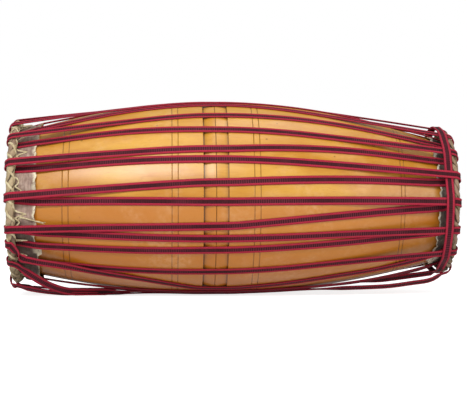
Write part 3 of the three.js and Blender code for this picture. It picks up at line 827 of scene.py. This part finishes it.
def make_straw_tree():
    """Bits of straw laid like spokes, each a little askew."""
    tree, into, out = new_group(
        "Straw spokes", "GeometryNodeTree",
        [
            ("Base", "Geometry"), ("Count", "Int", STRAW_COUNT), ("Place", "Float", TREBLE_END),
            ("Middle Radius", "Float", TREBLE_RING_OPENING), ("Length", "Float", STRAW_LENGTH),
            ("Thickness", "Float", STRAW_THICKNESS), ("Axis Height", "Float", AXIS),
            ("Askew", "Float", 0.12), ("Finish", "Material"),
        ],
        [("Geometry", "Geometry")],
    )
    line = put(tree, "GeometryNodeMeshLine", into["Count"])
    index = put(tree, "GeometryNodeInputIndex").outputs[0]
    turn = calc(tree, "DIVIDE", calc(tree, "MULTIPLY", calc(tree, "ADD", index, 0.5), math.tau),
                into["Count"])
    middle = into["Middle Radius"]
    place = join_xyz(tree, into["Place"], calc(tree, "MULTIPLY", calc(tree, "COSINE", turn), middle),
                     calc(tree, "ADD", calc(tree, "MULTIPLY", calc(tree, "SINE", turn), middle),
                          into["Axis Height"]))
    spots = put(tree, "GeometryNodeSetPosition", line, None, place)
    bit = put(tree, "GeometryNodeMeshCylinder", 10, 7, 1,
              Radius=calc(tree, "MULTIPLY", into["Thickness"], 0.5), Depth=into["Length"])
    lean = calc(tree, "MULTIPLY", calc(tree, "SINE", calc(tree, "MULTIPLY", index, 5.3)),
                into["Askew"])
    pitch = calc(tree, "ADD", calc(tree, "SUBTRACT", turn, math.pi / 2), lean)
    placed = put(tree, "GeometryNodeInstanceOnPoints", spots, Instance=bit.outputs[0],
                 Rotation=join_xyz(tree, pitch, 0.0, 0.0))
    finish_solid(tree, placed, into, out)
    return tree


TURNED, WOVEN, TWISTED = make_turning_tree(), make_webbing_tree(), make_hoop_tree()
THONG, SPOKES = make_thong_tree(), make_straw_tree()


def grow(name, base, tree, slot, nodes, crease=None, **inputs):
    """Runs a geometry tree on a base mesh and keeps the result as one plain, closed piece."""
    carrier = bpy.data.objects.new(name + "_base", base)
    bpy.context.collection.objects.link(carrier)
    modifier = carrier.modifiers.new("grown", "NODES")
    modifier.node_group = tree
    names = {item.name: item.identifier for item in tree.interface.items_tree
             if item.in_out == "INPUT"}
    for key, value in inputs.items():
        modifier[names[key.replace("_", " ")]] = value
    view = bpy.context.evaluated_depsgraph_get()
    mesh = bpy.data.meshes.new_from_object(carrier.evaluated_get(view))
    mesh.name = name
    bpy.data.objects.remove(carrier)
    return keep(name, mesh, nodes, crease)


def keep(name, mesh, nodes, crease=None):
    """Makes a plain mesh one piece of the bowed drum: faces outward, riding on the body."""
    work = bmesh.new()
    work.from_mesh(mesh)
    for vert in work.verts:
        vert.co.z -= bowed(vert.co.x)
    if work.calc_volume(signed=True) < 0:
        bmesh.ops.reverse_faces(work, faces=work.faces)
    work.to_mesh(mesh)
    work.free()
    mesh.shade_smooth()
    if crease:
        mesh.set_sharp_from_angle(angle=math.radians(crease))
    piece = bpy.data.objects.new(name, mesh)
    bpy.context.collection.objects.link(piece)
    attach(piece, "root")
    if nodes:
        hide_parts(*nodes)
    return piece


def line_mesh(name, points, **values):
    """A chain of points, with the values that each point carries."""
    mesh = bpy.data.meshes.new(name)
    edges = [(i, i + 1) for i in range(len(points) - 1)]
    mesh.from_pydata(points, edges, [])
    for key, column in values.items():
        vector = isinstance(column[0], Vector)
        layer = mesh.attributes.new(key, "FLOAT_VECTOR" if vector else "FLOAT", "POINT")
        flat = [part for value in column for part in (value if vector else (value,))]
        layer.data.foreach_set("vector" if vector else "value", flat)
    return mesh


def routes_mesh(name, routes):
    """Several chains of (point, outward, size) in one mesh."""
    mesh = bpy.data.meshes.new(name)
    points, edges, outs, sizes = [], [], [], []
    for route in routes:
        edges += [(len(points) + i, len(points) + i + 1) for i in range(len(route) - 1)]
        for point, out, size in route:
            points.append(point)
            outs += list(out)
            sizes.append(size)
    mesh.from_pydata(points, edges, [])
    mesh.attributes.new("outward", "FLOAT_VECTOR", "POINT").data.foreach_set("vector", outs)
    mesh.attributes.new("size", "FLOAT", "POINT").data.foreach_set("value", sizes)
    return mesh


# The shell
SCORED_LINES = (-0.228, -0.220, -0.084, -0.076, 0.024, 0.032, 0.222, 0.227)
SCORE_HALF_WIDTH, SCORE_DEPTH = 0.0007, 0.0005
OUTLINE_STEP = 0.006


def shell_outline():
    """(x, radius, how dark: the scored lines, painted shade at the feet of the bead's steps, and darker
    through the bore) from the bass mouth along the outside and back through the bore.
    """
    points = []

    def outer(side, x):
        reach = min(abs(x - middle) for middle in SCORED_LINES) / SCORE_HALF_WIDTH
        depth = SCORE_DEPTH * max(0, 1 - reach)
        points.append((x, barrel(side, x) - depth, 0.75 * max(0, 1 - reach * 0.8)))

    def stations(start, stop):
        places = set(steps(start, stop, int(abs(stop - start) / OUTLINE_STEP)))
        for middle in SCORED_LINES:
            if start < middle < stop:
                across = (-1.6, -1, -0.5, 0, 0.5, 1, 1.6)
                places.update(middle + SCORE_HALF_WIDTH * share for share in across)
        return sorted(places)

    for turn in steps(0, math.pi / 2, 5):
        x = BASS_END + EDGE_ROUND * (1 - math.sin(turn))
        start = barrel(bass, BASS_END + EDGE_ROUND) - EDGE_ROUND
        points.append((x, start + EDGE_ROUND * (1 - math.cos(turn)), 0.0))
    points.reverse()
    for x in stations(BASS_END + EDGE_ROUND, BEAD_START - 0.0006)[1:]:
        outer(bass, x)
    # the sunk bead, with its two steps and the scribed line on its crest; painted shade darkens the
    # feet of the steps
    crest = BELLY_RADIUS - BEAD_CREST_DROP
    points.append((BEAD_START - 0.0001, BELLY_RADIUS - BEAD_CREST_DROP * 1.4, 0.25))
    points.append((BEAD_START + 0.0002, BELLY_RADIUS - BEAD_BASS_STEP, 0.9))
    points.append((BEAD_START + 0.0014, BELLY_RADIUS - BEAD_BASS_STEP * 0.97, 0.7))
    for share in steps(0.1, 0.94, 10):
        rise = math.sin(share * math.pi / 2)
        x = lerp(BEAD_START, BELLY, share)
        points.append((x, lerp(BELLY_RADIUS - BEAD_BASS_STEP, crest, rise),
                       0.45 * max(0, 1 - share * 3.2)))
    for x, deep, dark in ((-0.0005, 0, 0.3), (0, 0.0006, 0.95), (0.0005, 0, 0.3)):
        points.append((BELLY + x, crest - deep, dark))
    for share in steps(0.06, 0.92, 10):
        fall = math.sin((1 - share) * math.pi / 2)
        x = lerp(BELLY, BEAD_END, share)
        points.append((x, lerp(BELLY_RADIUS - BEAD_TREBLE_STEP, crest, fall),
                       0.4 * max(0, share * 3.2 - 2.2)))
    points.append((BEAD_END - 0.0012, BELLY_RADIUS - BEAD_TREBLE_STEP, 0.6))
    points.append((BEAD_END - 0.0002, BELLY_RADIUS - BEAD_TREBLE_STEP, 0.8))
    points.append((BEAD_END + 0.0001, BELLY_RADIUS - BEAD_CREST_DROP * 1.4, 0.2))
    for x in stations(BEAD_END + 0.0006, TREBLE_END - EDGE_ROUND):
        outer(treble, x)
    top = barrel(treble, TREBLE_END - EDGE_ROUND)
    for turn in steps(0, math.pi / 2, 5)[1:]:
        points.append((TREBLE_END - EDGE_ROUND * (1 - math.sin(turn)),
                       top - EDGE_ROUND * (1 - math.cos(turn)), 0.0))
    lip = 2 * EDGE_ROUND
    points.append((TREBLE_END, treble.mouth - MOUTH_WALL + lip, 0.0))
    for x in steps(TREBLE_END - lip, BELLY, 24):
        points.append((x, bore(treble, x), 0.3))
    for x in steps(BELLY, BASS_END + lip, 24)[1:]:
        points.append((x, bore(bass, x), 0.3))
    points.append((BASS_END, bass.mouth - MOUTH_WALL + lip, 0.0))
    return points


outline = shell_outline()
outline.append(outline[0])
grow(
    "turned_shell",
    line_mesh("shell_outline", [(x, 0, r) for x, r, _ in outline],
              turned_line=[dark for _, _, dark in outline]),
    TURNED, "wood", ["shell"], crease=35, Sides=240, Axis_Height=AXIS, Finish=WOOD,
)


# The heads
def fold_outline(side, off, fold_length, opening, face_off):
    """The path of one face of a folded hide, from its cut edge over the rim to the opening."""
    fold_start = EDGE_ROUND - off * math.tan(math.pi / 8)
    path = []
    for share in steps(0, 1, 16):
        inward = lerp(fold_length, fold_start, share)
        x = side.end - side.toward * inward
        path.append((x, barrel(side, x) + off, share))
    rim = EDGE_ROUND + off
    middle_x = side.end - side.toward * EDGE_ROUND
    middle_r = barrel(side, middle_x) - EDGE_ROUND
    for turn in steps(0, math.pi / 2, 6)[1:]:
        path.append((middle_x + side.toward * (EDGE_ROUND + face_off) * math.sin(turn),
                     middle_r + rim * math.cos(turn), 1.0))
    for share in steps(0, 1, 14)[1:]:
        path.append((side.end + side.toward * face_off,
                     lerp(middle_r, opening, share), 1 + share))
    return path


def under_degrees(side):
    """Where the runs that come out from under the hoop lie on the flap."""
    if side is bass:
        return [degrees - BASS_UNDER_DEGREES - 0.6 for degrees in BASS_EYELETS]
    return [degrees - TREBLE_UNDER_DEGREES for degrees in TREBLE_EYELETS]


def clear_of_straps(degrees, spots, half):
    """0 under a strap and 1 well away from it."""
    nearest = min(turned_from(degrees, spot) for spot in spots)
    return smooth(nearest, half, half * 2.2)


# Where a slack flap sags, in degrees, how far in a lobe is pale, and how far in an edge curls up
SLACK_MIDDLE, SLACK_FROM, SLACK_TO = -88, 6, 17
LOBE_BAND = 0.012
CURL_REACH = 0.010


def folded_hide(name, side, lift, thickness, opening, fold_length, nodes, finish,
                face_lift=None, wave=0.0, curl=0.0, cream=0.001, seed=0.0, sides=160,
                bulge=0.0, lobes=(), trim=0.0, sag=0.0):
    """A hide that lies on a mouth and is folded down over the shell, with a wavy cut edge."""
    face_lift = lift if face_lift is None else face_lift
    strap_spots = under_degrees(side)
    half_strap = math.degrees(STRAP_WIDTH / 2 / side.mouth) + 1.5
    inner = fold_outline(side, lift, fold_length, opening, face_lift)
    outer = fold_outline(side, lift + thickness, fold_length, opening, face_lift + thickness)
    rings, pale = [], []
    for k in range(sides):
        degrees = 360 * k / sides
        spot = Vector((math.cos(math.radians(degrees)), math.sin(math.radians(degrees)), seed))
        ragged = noise.noise(spot * 4.5) + 0.5 * noise.noise(spot * 13) + 0.3 * noise.noise(spot * 40)
        away = clear_of_straps(degrees, strap_spots, half_strap)
        patchy = smooth(noise.noise(spot * 6 + Vector((7, 0, 0))), -0.4, 0.5)
        rise = curl * away * (0.35 + 0.65 * patchy)
        slack = 1 - smooth(turned_from(degrees, SLACK_MIDDLE), SLACK_FROM, SLACK_TO)
        longer = higher = 0.0
        # the pale band along the cut edge is narrower low on the drum
        band = cream * (0.75 + 0.5 * noise.noise(spot * 9 + Vector((0, 3, 0))))
        band *= lerp(1, 0.45, smooth(-math.sin(math.radians(degrees)), 0.2, 0.45))
        for place, half, lobe_length, lobe_height in lobes:
            weight = 1 - smooth(turned_from(degrees, place), half * 0.5, half)
            longer += lobe_length * weight
            higher += lobe_height * weight
            band = max(band, LOBE_BAND * weight)
        ring, light = [], []
        for path, face in ((outer, 1), (inner[::-1], 0)):
            for x, radius, share in path:
                on_fold = share < 1
                edge = max(0, 1 - share)
                near = max(0, 1 - (1 - edge) * fold_length / CURL_REACH) if on_fold else 1
                inward = abs(x - side.end)
                move = (wave * ragged + trim + longer) * edge**2
                swell = 0.0003 * near * face * away
                if on_fold:
                    body = smooth(inward, 0.007, 0.014) * (1 - smooth(inward, 0.02, 0.032))
                    swell += bulge * body * away + sag * slack * smooth(inward, 0.006, 0.014)
                    swell += (rise + higher) * near * near
                lump = 0.00025 * noise.noise(Vector((x * 160, spot.x * 9, spot.y * 9 + seed)))
                lump *= face * away * (1 if share < 1.9 else 0.3)
                ring.append(on_axis(x - side.toward * move, radius + swell + lump, degrees))
                from_edge = (1 - edge) * fold_length
                light.append(1 - smooth(from_edge, band * 0.6, band * 1.1) if on_fold else 0.0)
        rings.append(ring)
        pale.append(light)
    return ring_mesh(name, rings, pale, nodes, finish, whole=opening == 0)


def ring_mesh(name, rings, pale, nodes, finish, whole):
    """Joins the outline at each angle to the next, all the way round, and welds a whole skin."""
    count, size = len(rings), len(rings[0])
    verts = [point for ring in rings for point in ring]
    faces = []
    for k in range(count):
        for i in range(size):
            a, b = k * size + i, k * size + (i + 1) % size
            c, d = (k + 1) % count * size + (i + 1) % size, (k + 1) % count * size + i
            faces.append((a, b, c, d))
    mesh = bpy.data.meshes.new(name)
    mesh.from_pydata(verts, [], faces)
    layer = mesh.attributes.new("cut_edge", "FLOAT", "POINT")
    layer.data.foreach_set("value", [value for ring in pale for value in ring])
    if whole:
        work = bmesh.new()
        work.from_mesh(mesh)
        bmesh.ops.remove_doubles(work, verts=work.verts, dist=1e-6)
        bad = [face for face in work.faces if face.calc_area() < 1e-14]
        bmesh.ops.delete(work, geom=bad, context="FACES_ONLY")
        work.to_mesh(mesh)
        work.free()
    mesh.materials.append(finish)
    return keep(name, mesh, nodes, crease=50)


folded_hide("bass_playing_skin", bass, SEAT_GAP, BASS_SKIN_THICKNESS, 0, BASS_SKIN_FOLD,
            ["bass_skin"], PLAYING_SKIN)
folded_hide("bass_outer_ring", bass, BASS_RING_LIFT, BASS_RING_THICKNESS, BASS_RING_OPENING,
            BASS_FLAP, ["bass_ring"], RING_HIDE, wave=0.0042, curl=0.0048,
            cream=0.006, seed=3.0, sides=288, bulge=0.0042, trim=-0.0022, sag=0.0045,
            lobes=[(-38.5, 5, 0.006, 0.0015), (-24, 3, 0.002, 0.001)])
folded_hide("treble_inner_ring", treble, SEAT_GAP, TREBLE_UNDER_THICKNESS, TREBLE_UNDER_OPENING,
            TREBLE_UNDER_FOLD, ["treble_under_ring"], PLAYING_SKIN)
folded_hide("treble_playing_skin", treble, TREBLE_SKIN_LIFT, TREBLE_SKIN_THICKNESS, 0,
            TREBLE_SKIN_FOLD, ["treble_skin"], PLAYING_SKIN)
folded_hide("treble_outer_ring", treble, TREBLE_RING_LIFT, TREBLE_RING_THICKNESS,
            TREBLE_RING_OPENING, TREBLE_FLAP, ["treble_ring"], TREBLE_HIDE,
            face_lift=TREBLE_RING_FACE_LIFT, wave=0.005, curl=0.0022, cream=0.0045, seed=8.0,
            sides=288, lobes=[(-62, 7, 0.006, 0.0035)])

# The tuning paste, built up in thin layers
PASTE_BACK = TREBLE_END + TREBLE_SKIN_LIFT + TREBLE_SKIN_THICKNESS + SEAT_GAP
PASTE_RIM, PASTE_RISE, PASTE_LAYER = 0.0008, 0.0014, 0.00012
paste_outline = [(PASTE_BACK, 0), (PASTE_BACK, PASTE_RADIUS)]
for share in steps(0, 1, 24):
    dome = PASTE_RIM + PASTE_RISE * smooth(share, 0.0, 0.75)
    layer = PASTE_LAYER * math.sin(share * 40)
    paste_outline.append((PASTE_BACK + dome + layer * (1 - share), PASTE_RADIUS * (1 - share)))
grow(
    "tuning_patch", line_mesh("paste_outline", [(x, 0, r) for x, r in paste_outline],
                              turned_line=[0.0] * len(paste_outline)),
    TURNED, "paste", ["tuning_paste"], crease=60, Sides=128, Axis_Height=AXIS, Finish=PASTE,
)

# The hoops, and the thongs wound round the bass one
nothing = bpy.data.meshes.new("nothing")


def rope(name, side, nodes, finish, **lay):
    grow(name, nothing, TWISTED, "rawhide", nodes, Ring_Radius=side.hoop_ring,
         Middle=side.hoop_middle, Axis_Height=AXIS, Points=960, Finish=finish, **lay)


rope("bass_hoop_rope", bass, ["bass_hoop"], BASS_RAWHIDE, Lay_Radius=0.0027, Strands=3, Twists=11,
     Strand_Width=0.0082, Strand_Thickness=0.0056, Wrinkle=0.0008, Section_Sides=14, Seed=2.0)
rope("bass_hoop_thongs", bass, [], CREAM_THONG, Lay_Radius=0.0056, Strands=2, Twists=-17,
     Strand_Width=0.0034, Strand_Thickness=0.0016, Wrinkle=0.0006, Section_Sides=8, Seed=6.0)
rope("treble_hoop_rope", treble, ["treble_hoop"], RAWHIDE, Lay_Radius=0.0030, Strands=3,
     Twists=-13, Strand_Width=0.0066, Strand_Thickness=0.0058, Wrinkle=0.0007, Section_Sides=14,
     Seed=5.0)

# The straws between the treble skin and its outer ring
grow("straw_spokes", nothing, SPOKES, "straw", [f"straw_{i + 1}" for i in range(STRAW_COUNT)],
     crease=40, Count=STRAW_COUNT, Place=TREBLE_END + TREBLE_RING_LIFT + STRAW_THICKNESS / 2,
     Middle_Radius=TREBLE_RING_OPENING - STRAW_PEEK + STRAW_LENGTH / 2, Length=STRAW_LENGTH,
     Thickness=STRAW_THICKNESS, Axis_Height=AXIS, Askew=0.05, Finish=STRAW)


# Thongs over the flap
def on_flap(share, degrees, off):
    """A point over the bass flap, at a share of the way from the hoop to the flap's edge."""
    x = lerp(bass.hoop_middle, bass.flap_edge, share)
    return on_axis(x, barrel(bass, x) + bass.flap_lift + off, degrees)


def flap_route(rows):
    return [(on_flap(share, degrees, off), outward(degrees), size)
            for share, degrees, off, size in rows]


string = [
    [(0.27, -10.8, 0.0040, 1.0), (0.36, -11.3, 0.0052, 1.5), (0.44, -11.8, 0.0050, 1.7),
     (0.55, -12.3, 0.0042, 1.1), (0.75, -13.4, 0.0032, 0.9), (0.95, -14.4, 0.0026, 0.9),
     (1.1, -15.0, 0.0018, 1.3)],
    [(1.06, -14.9, 0.0019, 0.9), (1.2, -15.3, 0.0016, 0.8), (1.34, -15.0, 0.0018, 0.35)],
    [(1.06, -15.0, 0.0018, 0.9), (1.18, -15.8, 0.0014, 0.7), (1.30, -16.6, 0.0012, 0.3)],
    [(0.42, -11.7, 0.0046, 0.9), (0.33, -13.0, 0.0040, 0.8), (0.22, -15.2, 0.0034, 0.6)],
]
grow("loose_string", routes_mesh("string_routes", [flap_route(rows) for rows in string]), THONG,
     "rawhide", ["hide_string"], Width=0.0019, Thickness=0.0012, Wrinkle=0.0004, Seed=4.0,
     Finish=CREAM_THONG)


def stitch_routes():
    """The thongs that sew the bass hoop to the flap, in points, between the straps."""
    spots = sorted(under_degrees(bass), reverse=True)
    half = math.degrees(STRAP_WIDTH / 2 / bass.mouth) + 2.0
    routes = []
    for high, low in zip(spots, spots[1:] + [spots[0] - 360]):
        top, bottom = high - half, low + half
        count = max(1, round((top - bottom) / 6.5))
        span = (top - bottom) / count
        for i in range(count):
            start = top - i * span
            jitter = 0.06 * noise.noise(Vector((start * 0.37, 2.0, 0)))
            reach = 0.46 + 0.16 * math.sin(start * 1.7) + jitter
            rows = [(0.17, start, 0.0060, 1.0), (0.26, start - span * 0.2, 0.0056, 1.0),
                    (reach, start - span * 0.5, 0.0036, 0.8),
                    (0.28, start - span * 0.78, 0.0054, 1.0), (0.17, start - span, 0.0058, 1.0)]
            routes.append(flap_route(rows))
    return routes


grow("bass_hoop_stitches", routes_mesh("stitch_routes", stitch_routes()), THONG, "rawhide", [],
     Width=0.0021, Thickness=0.0012, Wrinkle=0.0005, Seed=9.0, Finish=CREAM_THONG)


# The lacing
def touch_point(side, x, radius):
    reach = abs(x - BELLY)
    drop = BELLY_RADIUS + STRAP_LIFT - radius
    return BELLY + side.toward * (reach - math.sqrt(max(reach**2 - drop / bend(side), 0)))


def wrap_point(side, turn):
    flat_lift = STRAP_WIDTH**2 / 8 / side.hoop_ring
    wrap = side.hoop_radius + STRAP_LIFT + flat_lift
    return (side.hoop_middle + side.toward * wrap * math.sin(turn),
            side.hoop_ring + wrap * math.cos(turn))


def leave_slope(side):
    touch = touch_point(side, side.hoop_middle, side.hoop_ring + side.hoop_radius + STRAP_LIFT)
    return math.atan(2 * bend(side) * abs(touch - BELLY))


def half_run(side, over):
    """From the hoop to the step of the bead: (x, radius, how far under)."""
    route = []
    if over:
        for i, turn in enumerate(steps(math.pi, leave_slope(side), 16)):
            route.append((*wrap_point(side, turn), (1 - i / 16) / 2))
    else:
        start = side.hoop_middle - side.toward * 3 * SEAT_GAP
        for i, x in enumerate(steps(start, side.flap_edge, 8)):
            route.append((x, barrel(side, x) + side.flap_lift + STRAP_LIFT, (1 + i / 8) / 2))
    leave_x, leave_radius, _ = route[-1]
    touch = touch_point(side, leave_x, leave_radius)
    touch_radius = barrel(side, touch) + STRAP_LIFT
    under = 0 if over else 1
    for share in steps(0, 1, 30)[1:]:
        route.append((lerp(leave_x, touch, share), lerp(leave_radius, touch_radius, share), under))
    for x in steps(touch, side.step, math.ceil(abs(touch - side.step) / 0.006))[1:]:
        route.append((x, barrel(side, x) + STRAP_LIFT, under))
    return route


def along_table(table, share, column):
    """The table's value at a share of the way, on a smooth curve through its rows."""
    for i in range(len(table) - 1):
        if share <= table[i + 1][0] or i == len(table) - 2:
            break
    rows = [table[max(i - 1, 0)], table[i], table[i + 1], table[min(i + 2, len(table) - 1)]]
    span = rows[2][0] - rows[1][0]
    t = min(max((share - rows[1][0]) / span, 0), 1)

    def slope(a, b):
        return 0.0 if a is b else (b[column] - a[column]) / (b[0] - a[0]) * span

    m1 = slope(rows[0], rows[2]) if rows[0] is not rows[1] else 0.0
    m2 = slope(rows[1], rows[3]) if rows[3] is not rows[2] else 0.0
    p1, p2 = rows[1][column], rows[2][column]
    return (
        (2 * t**3 - 3 * t**2 + 1) * p1 + (t**3 - 2 * t**2 + t) * m1
        + (-2 * t**3 + 3 * t**2) * p2 + (t**3 - t**2) * m2
    )


def half_stations(side, over, eyelet, under_step, crossing, slack):
    """One half of a run: (x, radius, degrees)."""
    found = []
    for x, radius, under in half_run(side, over):
        share = min(max((x - side.hoop_middle) / (side.step - side.hoop_middle), 0), 1)
        degrees = lerp(eyelet - under * under_step, crossing, share)
        if slack:
            loose = max(0, 1 - 4 * under) if over else 1
            degrees += along_table(slack, share, 1) * loose
            radius += SLACK_HANG * max(along_table(slack, share, 2), 0) * loose
        found.append([x, radius, degrees])
    return found


def evened(stations, window=0.014):
    """Eases the corners of a run's angle, away from its hoops."""
    low, high = bass.hoop_middle + 0.02, treble.hoop_middle - 0.02
    eased = []
    for x, radius, degrees in stations:
        if low < x < high:
            near = [other[2] for other in stations if abs(other[0] - x) < window]
            degrees = sum(near) / len(near)
        eased.append((x, radius, degrees))
    return eased


def free_height(station):
    """How far a station of a run hangs off the shell's own surface."""
    x, radius, _ = station
    side = bass if x < BELLY else treble
    inside = min(max(x, BASS_END), TREBLE_END)
    if abs(x - side.hoop_middle) < 0.012:
        return 0.0
    return radius - barrel(side, inside) - 0.004


def run_stations(run):
    bass_eyelet = BASS_EYELETS[run // 2]
    treble_eyelet = TREBLE_EYELETS[(run + 1) // 2 - 1] if run else TREBLE_EYELETS[-1] + 360
    bass_over = run % 2 == (1 if run // 2 in SWAPPED_BASS_EYELETS else 0)
    treble_swapped = (run + 1) // 2 - 1 in SWAPPED_TREBLE_EYELETS
    treble_over = run % 2 == (0 if treble_swapped else 1)
    bass_slack, treble_slack = SLACK_ROUTES.get(run, (None, None))
    crossing = BELLY_CROSSINGS[run]
    near = half_stations(bass, bass_over, bass_eyelet, BASS_UNDER_DEGREES, crossing, bass_slack)
    far = half_stations(treble, treble_over, treble_eyelet, TREBLE_UNDER_DEGREES, crossing,
                        treble_slack)
    return evened(near + far[::-1])


def strap(name, points, outs, node):
    grow(name, line_mesh(name + "_route", points, outward=outs), WOVEN, "webbing", [node],
         crease=70, Width=DRAWN_STRAP_WIDTH, Thickness=CORD_THICKNESS, Rib_Pitch=RIB_PITCH,
         Rib_Height=RIB_HEIGHT, Finish=WEBBING)


def facing(points, sides_on, front=None):
    """The direction out of the strap's flat side, turned to the front where it hangs free."""
    outs = []
    for i, side_on in enumerate(sides_on):
        along = (points[min(i + 1, len(points) - 1)] - points[max(i - 1, 0)]).normalized()
        across = side_on - along * side_on.dot(along)
        out = along.cross(across).normalized()
        if front:
            out = out.lerp(Vector((0, -1, -0.15)) * math.copysign(1, out.dot((0, -1, -1))), front[i])
            out = (out - along * out.dot(along)).normalized()
        outs.append(out)
    return outs


for run in range(len(BELLY_CROSSINGS)):
    stations = run_stations(run)
    points = [on_axis(*station) for station in stations]
    sides_on = [outward(degrees + 90) for _, _, degrees in stations]
    front = None
    if run in FRONT_TURNS:
        front = [FRONT_TURNS[run][station[0] > BELLY] * smooth(free_height(station), 0.001, 0.006)
                 for station in stations]
    outs = facing(points, sides_on, front)
    if run == TWISTED_RUN:
        for i, point in enumerate(points[1:-1], 1):
            along = (points[i + 1] - points[i - 1]).normalized()
            turn = math.pi * smooth(point.x, TWIST_START, TWIST_END)
            outs[i] = Quaternion(along, turn) @ outs[i]
    strap(f"strap_run_{run + 1:02d}", points, outs, f"lace_run_{run + 1:02d}")


# The cross strap, over the runs that turn round the treble hoop but under three of them
def cross_route():
    cross_x = treble.hoop_middle - CROSS_STRAP_INSET
    layer = STRAP_THICKNESS + SEAT_GAP
    wrap_factor = math.cos(math.pi / 10)
    leave = leave_slope(treble)
    wrap = (treble.hoop_radius + STRAP_LIFT + STRAP_WIDTH**2 / 8 / treble.hoop_ring) / wrap_factor
    leave_x = treble.hoop_middle + wrap * math.sin(leave)
    leave_radius = treble.hoop_ring + wrap * math.cos(leave)
    slope = 2 * bend(treble) * abs(touch_point(treble, leave_x, leave_radius) - BELLY)

    def over_run_radius(x):
        return leave_radius + (leave_x - x) * slope

    under = over_run_radius(cross_x + STRAP_WIDTH / 2) - layer
    half_flat = (STRAP_WIDTH / 2 + STRAP_THICKNESS) / under
    top = (over_run_radius(cross_x - STRAP_WIDTH / 2) + layer) / math.cos(half_flat)
    half = math.degrees(half_flat)
    corners = [(TREBLE_EYELETS[9] - 8, top)]
    for i in range(1, 17):
        eyelet, turn = (9 + i) % 16, 0 if 9 + i < 16 else 360
        radius = under if eyelet in EYELETS_OVER_CROSS else top
        middle = TREBLE_EYELETS[eyelet] - turn
        corners += [(middle + half, radius), (middle - half, radius)]
    corners.append((TREBLE_EYELETS[9] - 8 - 360, top + layer))
    middle = TREBLE_EYELETS[10] - 360
    corners += [(middle + half, top + layer), (middle - half, top + layer)]
    corners.append((TREBLE_EYELETS[10] - 8 - 360, top + layer))
    spots = [on_axis(cross_x, radius, degrees) for degrees, radius in corners]
    dense = []
    for a, b in zip(spots, spots[1:]):
        count = max(2, round((b - a).length / 0.001))
        dense += [a.lerp(b, i / count) for i in range(count)]
    dense.append(spots[-1])
    eased = []
    for i in range(len(dense)):
        span = min(3, i, len(dense) - 1 - i)
        near = dense[i - span : i + span + 1]
        eased.append(sum(near, Vector()) / len(near))
    return eased


cross_points = cross_route()
strap("cross_strap_woven", cross_points, facing(cross_points, [Vector((-1, 0, 0))] * len(cross_points)),
      "cross_strap")


# Stage and light
def stage_material():
    material = bpy.data.materials.new("pale floor")
    material.use_nodes = True
    tree = material.node_tree
    tree.nodes.clear()
    diffuse = put(tree, "ShaderNodeBsdfDiffuse", (0.8, 0.8, 0.8, 1))
    glow = put(tree, "ShaderNodeEmission", (1, 1, 1, 1), 0.8)
    rays = put(tree, "ShaderNodeLightPath")
    lit = put(tree, "ShaderNodeAddShader", diffuse, glow)
    seen = calc(tree, "MAXIMUM", rays.outputs["Is Camera Ray"],
                calc(tree, "MULTIPLY", rays.outputs["Is Glossy Ray"], 0.35))
    mixed = put(tree, "ShaderNodeMixShader", seen, diffuse, lit)
    put(tree, "ShaderNodeOutputMaterial", mixed)
    return material


def set_stage():
    mesh = bpy.data.meshes.new("floor")
    mesh.from_pydata([(-8, -8, 0), (8, -8, 0), (8, 8, 0), (-8, 8, 0)], [], [(0, 1, 2, 3)])
    mesh.materials.append(stage_material())
    floor = bpy.data.objects.new("floor", mesh)
    bpy.context.collection.objects.link(floor)

    world = bpy.data.worlds.new("studio")
    bpy.context.scene.world = world
    world.use_nodes = True
    tree = world.node_tree
    tree.nodes.clear()
    rays = put(tree, "ShaderNodeLightPath")
    seen = calc(tree, "MAXIMUM", rays.outputs["Is Camera Ray"],
                rays.outputs["Is Transmission Ray"])
    soft = put(tree, "ShaderNodeBackground", (1, 1, 1, 1), 0.32)
    white = put(tree, "ShaderNodeBackground", (1, 1, 1, 1), 1.0)
    put(tree, "ShaderNodeOutputWorld", put(tree, "ShaderNodeMixShader", seen, soft, white))

    for name, place, size, power in (
        ("key", (-0.6, -1.75, 1.4), (1.1, 0.4), 30),
        ("top", (0.2, -0.1, 1.9), (1.6, 0.7), 9),
        ("fill", (1.4, -1.6, 0.5), (1.0, 1.0), 9),
    ):
        lamp = bpy.data.lights.new(name, "AREA")
        lamp.shape, lamp.size, lamp.size_y = "RECTANGLE", *size
        lamp.energy = power
        light = bpy.data.objects.new(name, lamp)
        light.location = place
        light.rotation_euler = (Vector((0, 0, AXIS)) - light.location).to_track_quat(
            "-Z", "Y"
        ).to_euler()
        bpy.context.collection.objects.link(light)


set_stage()
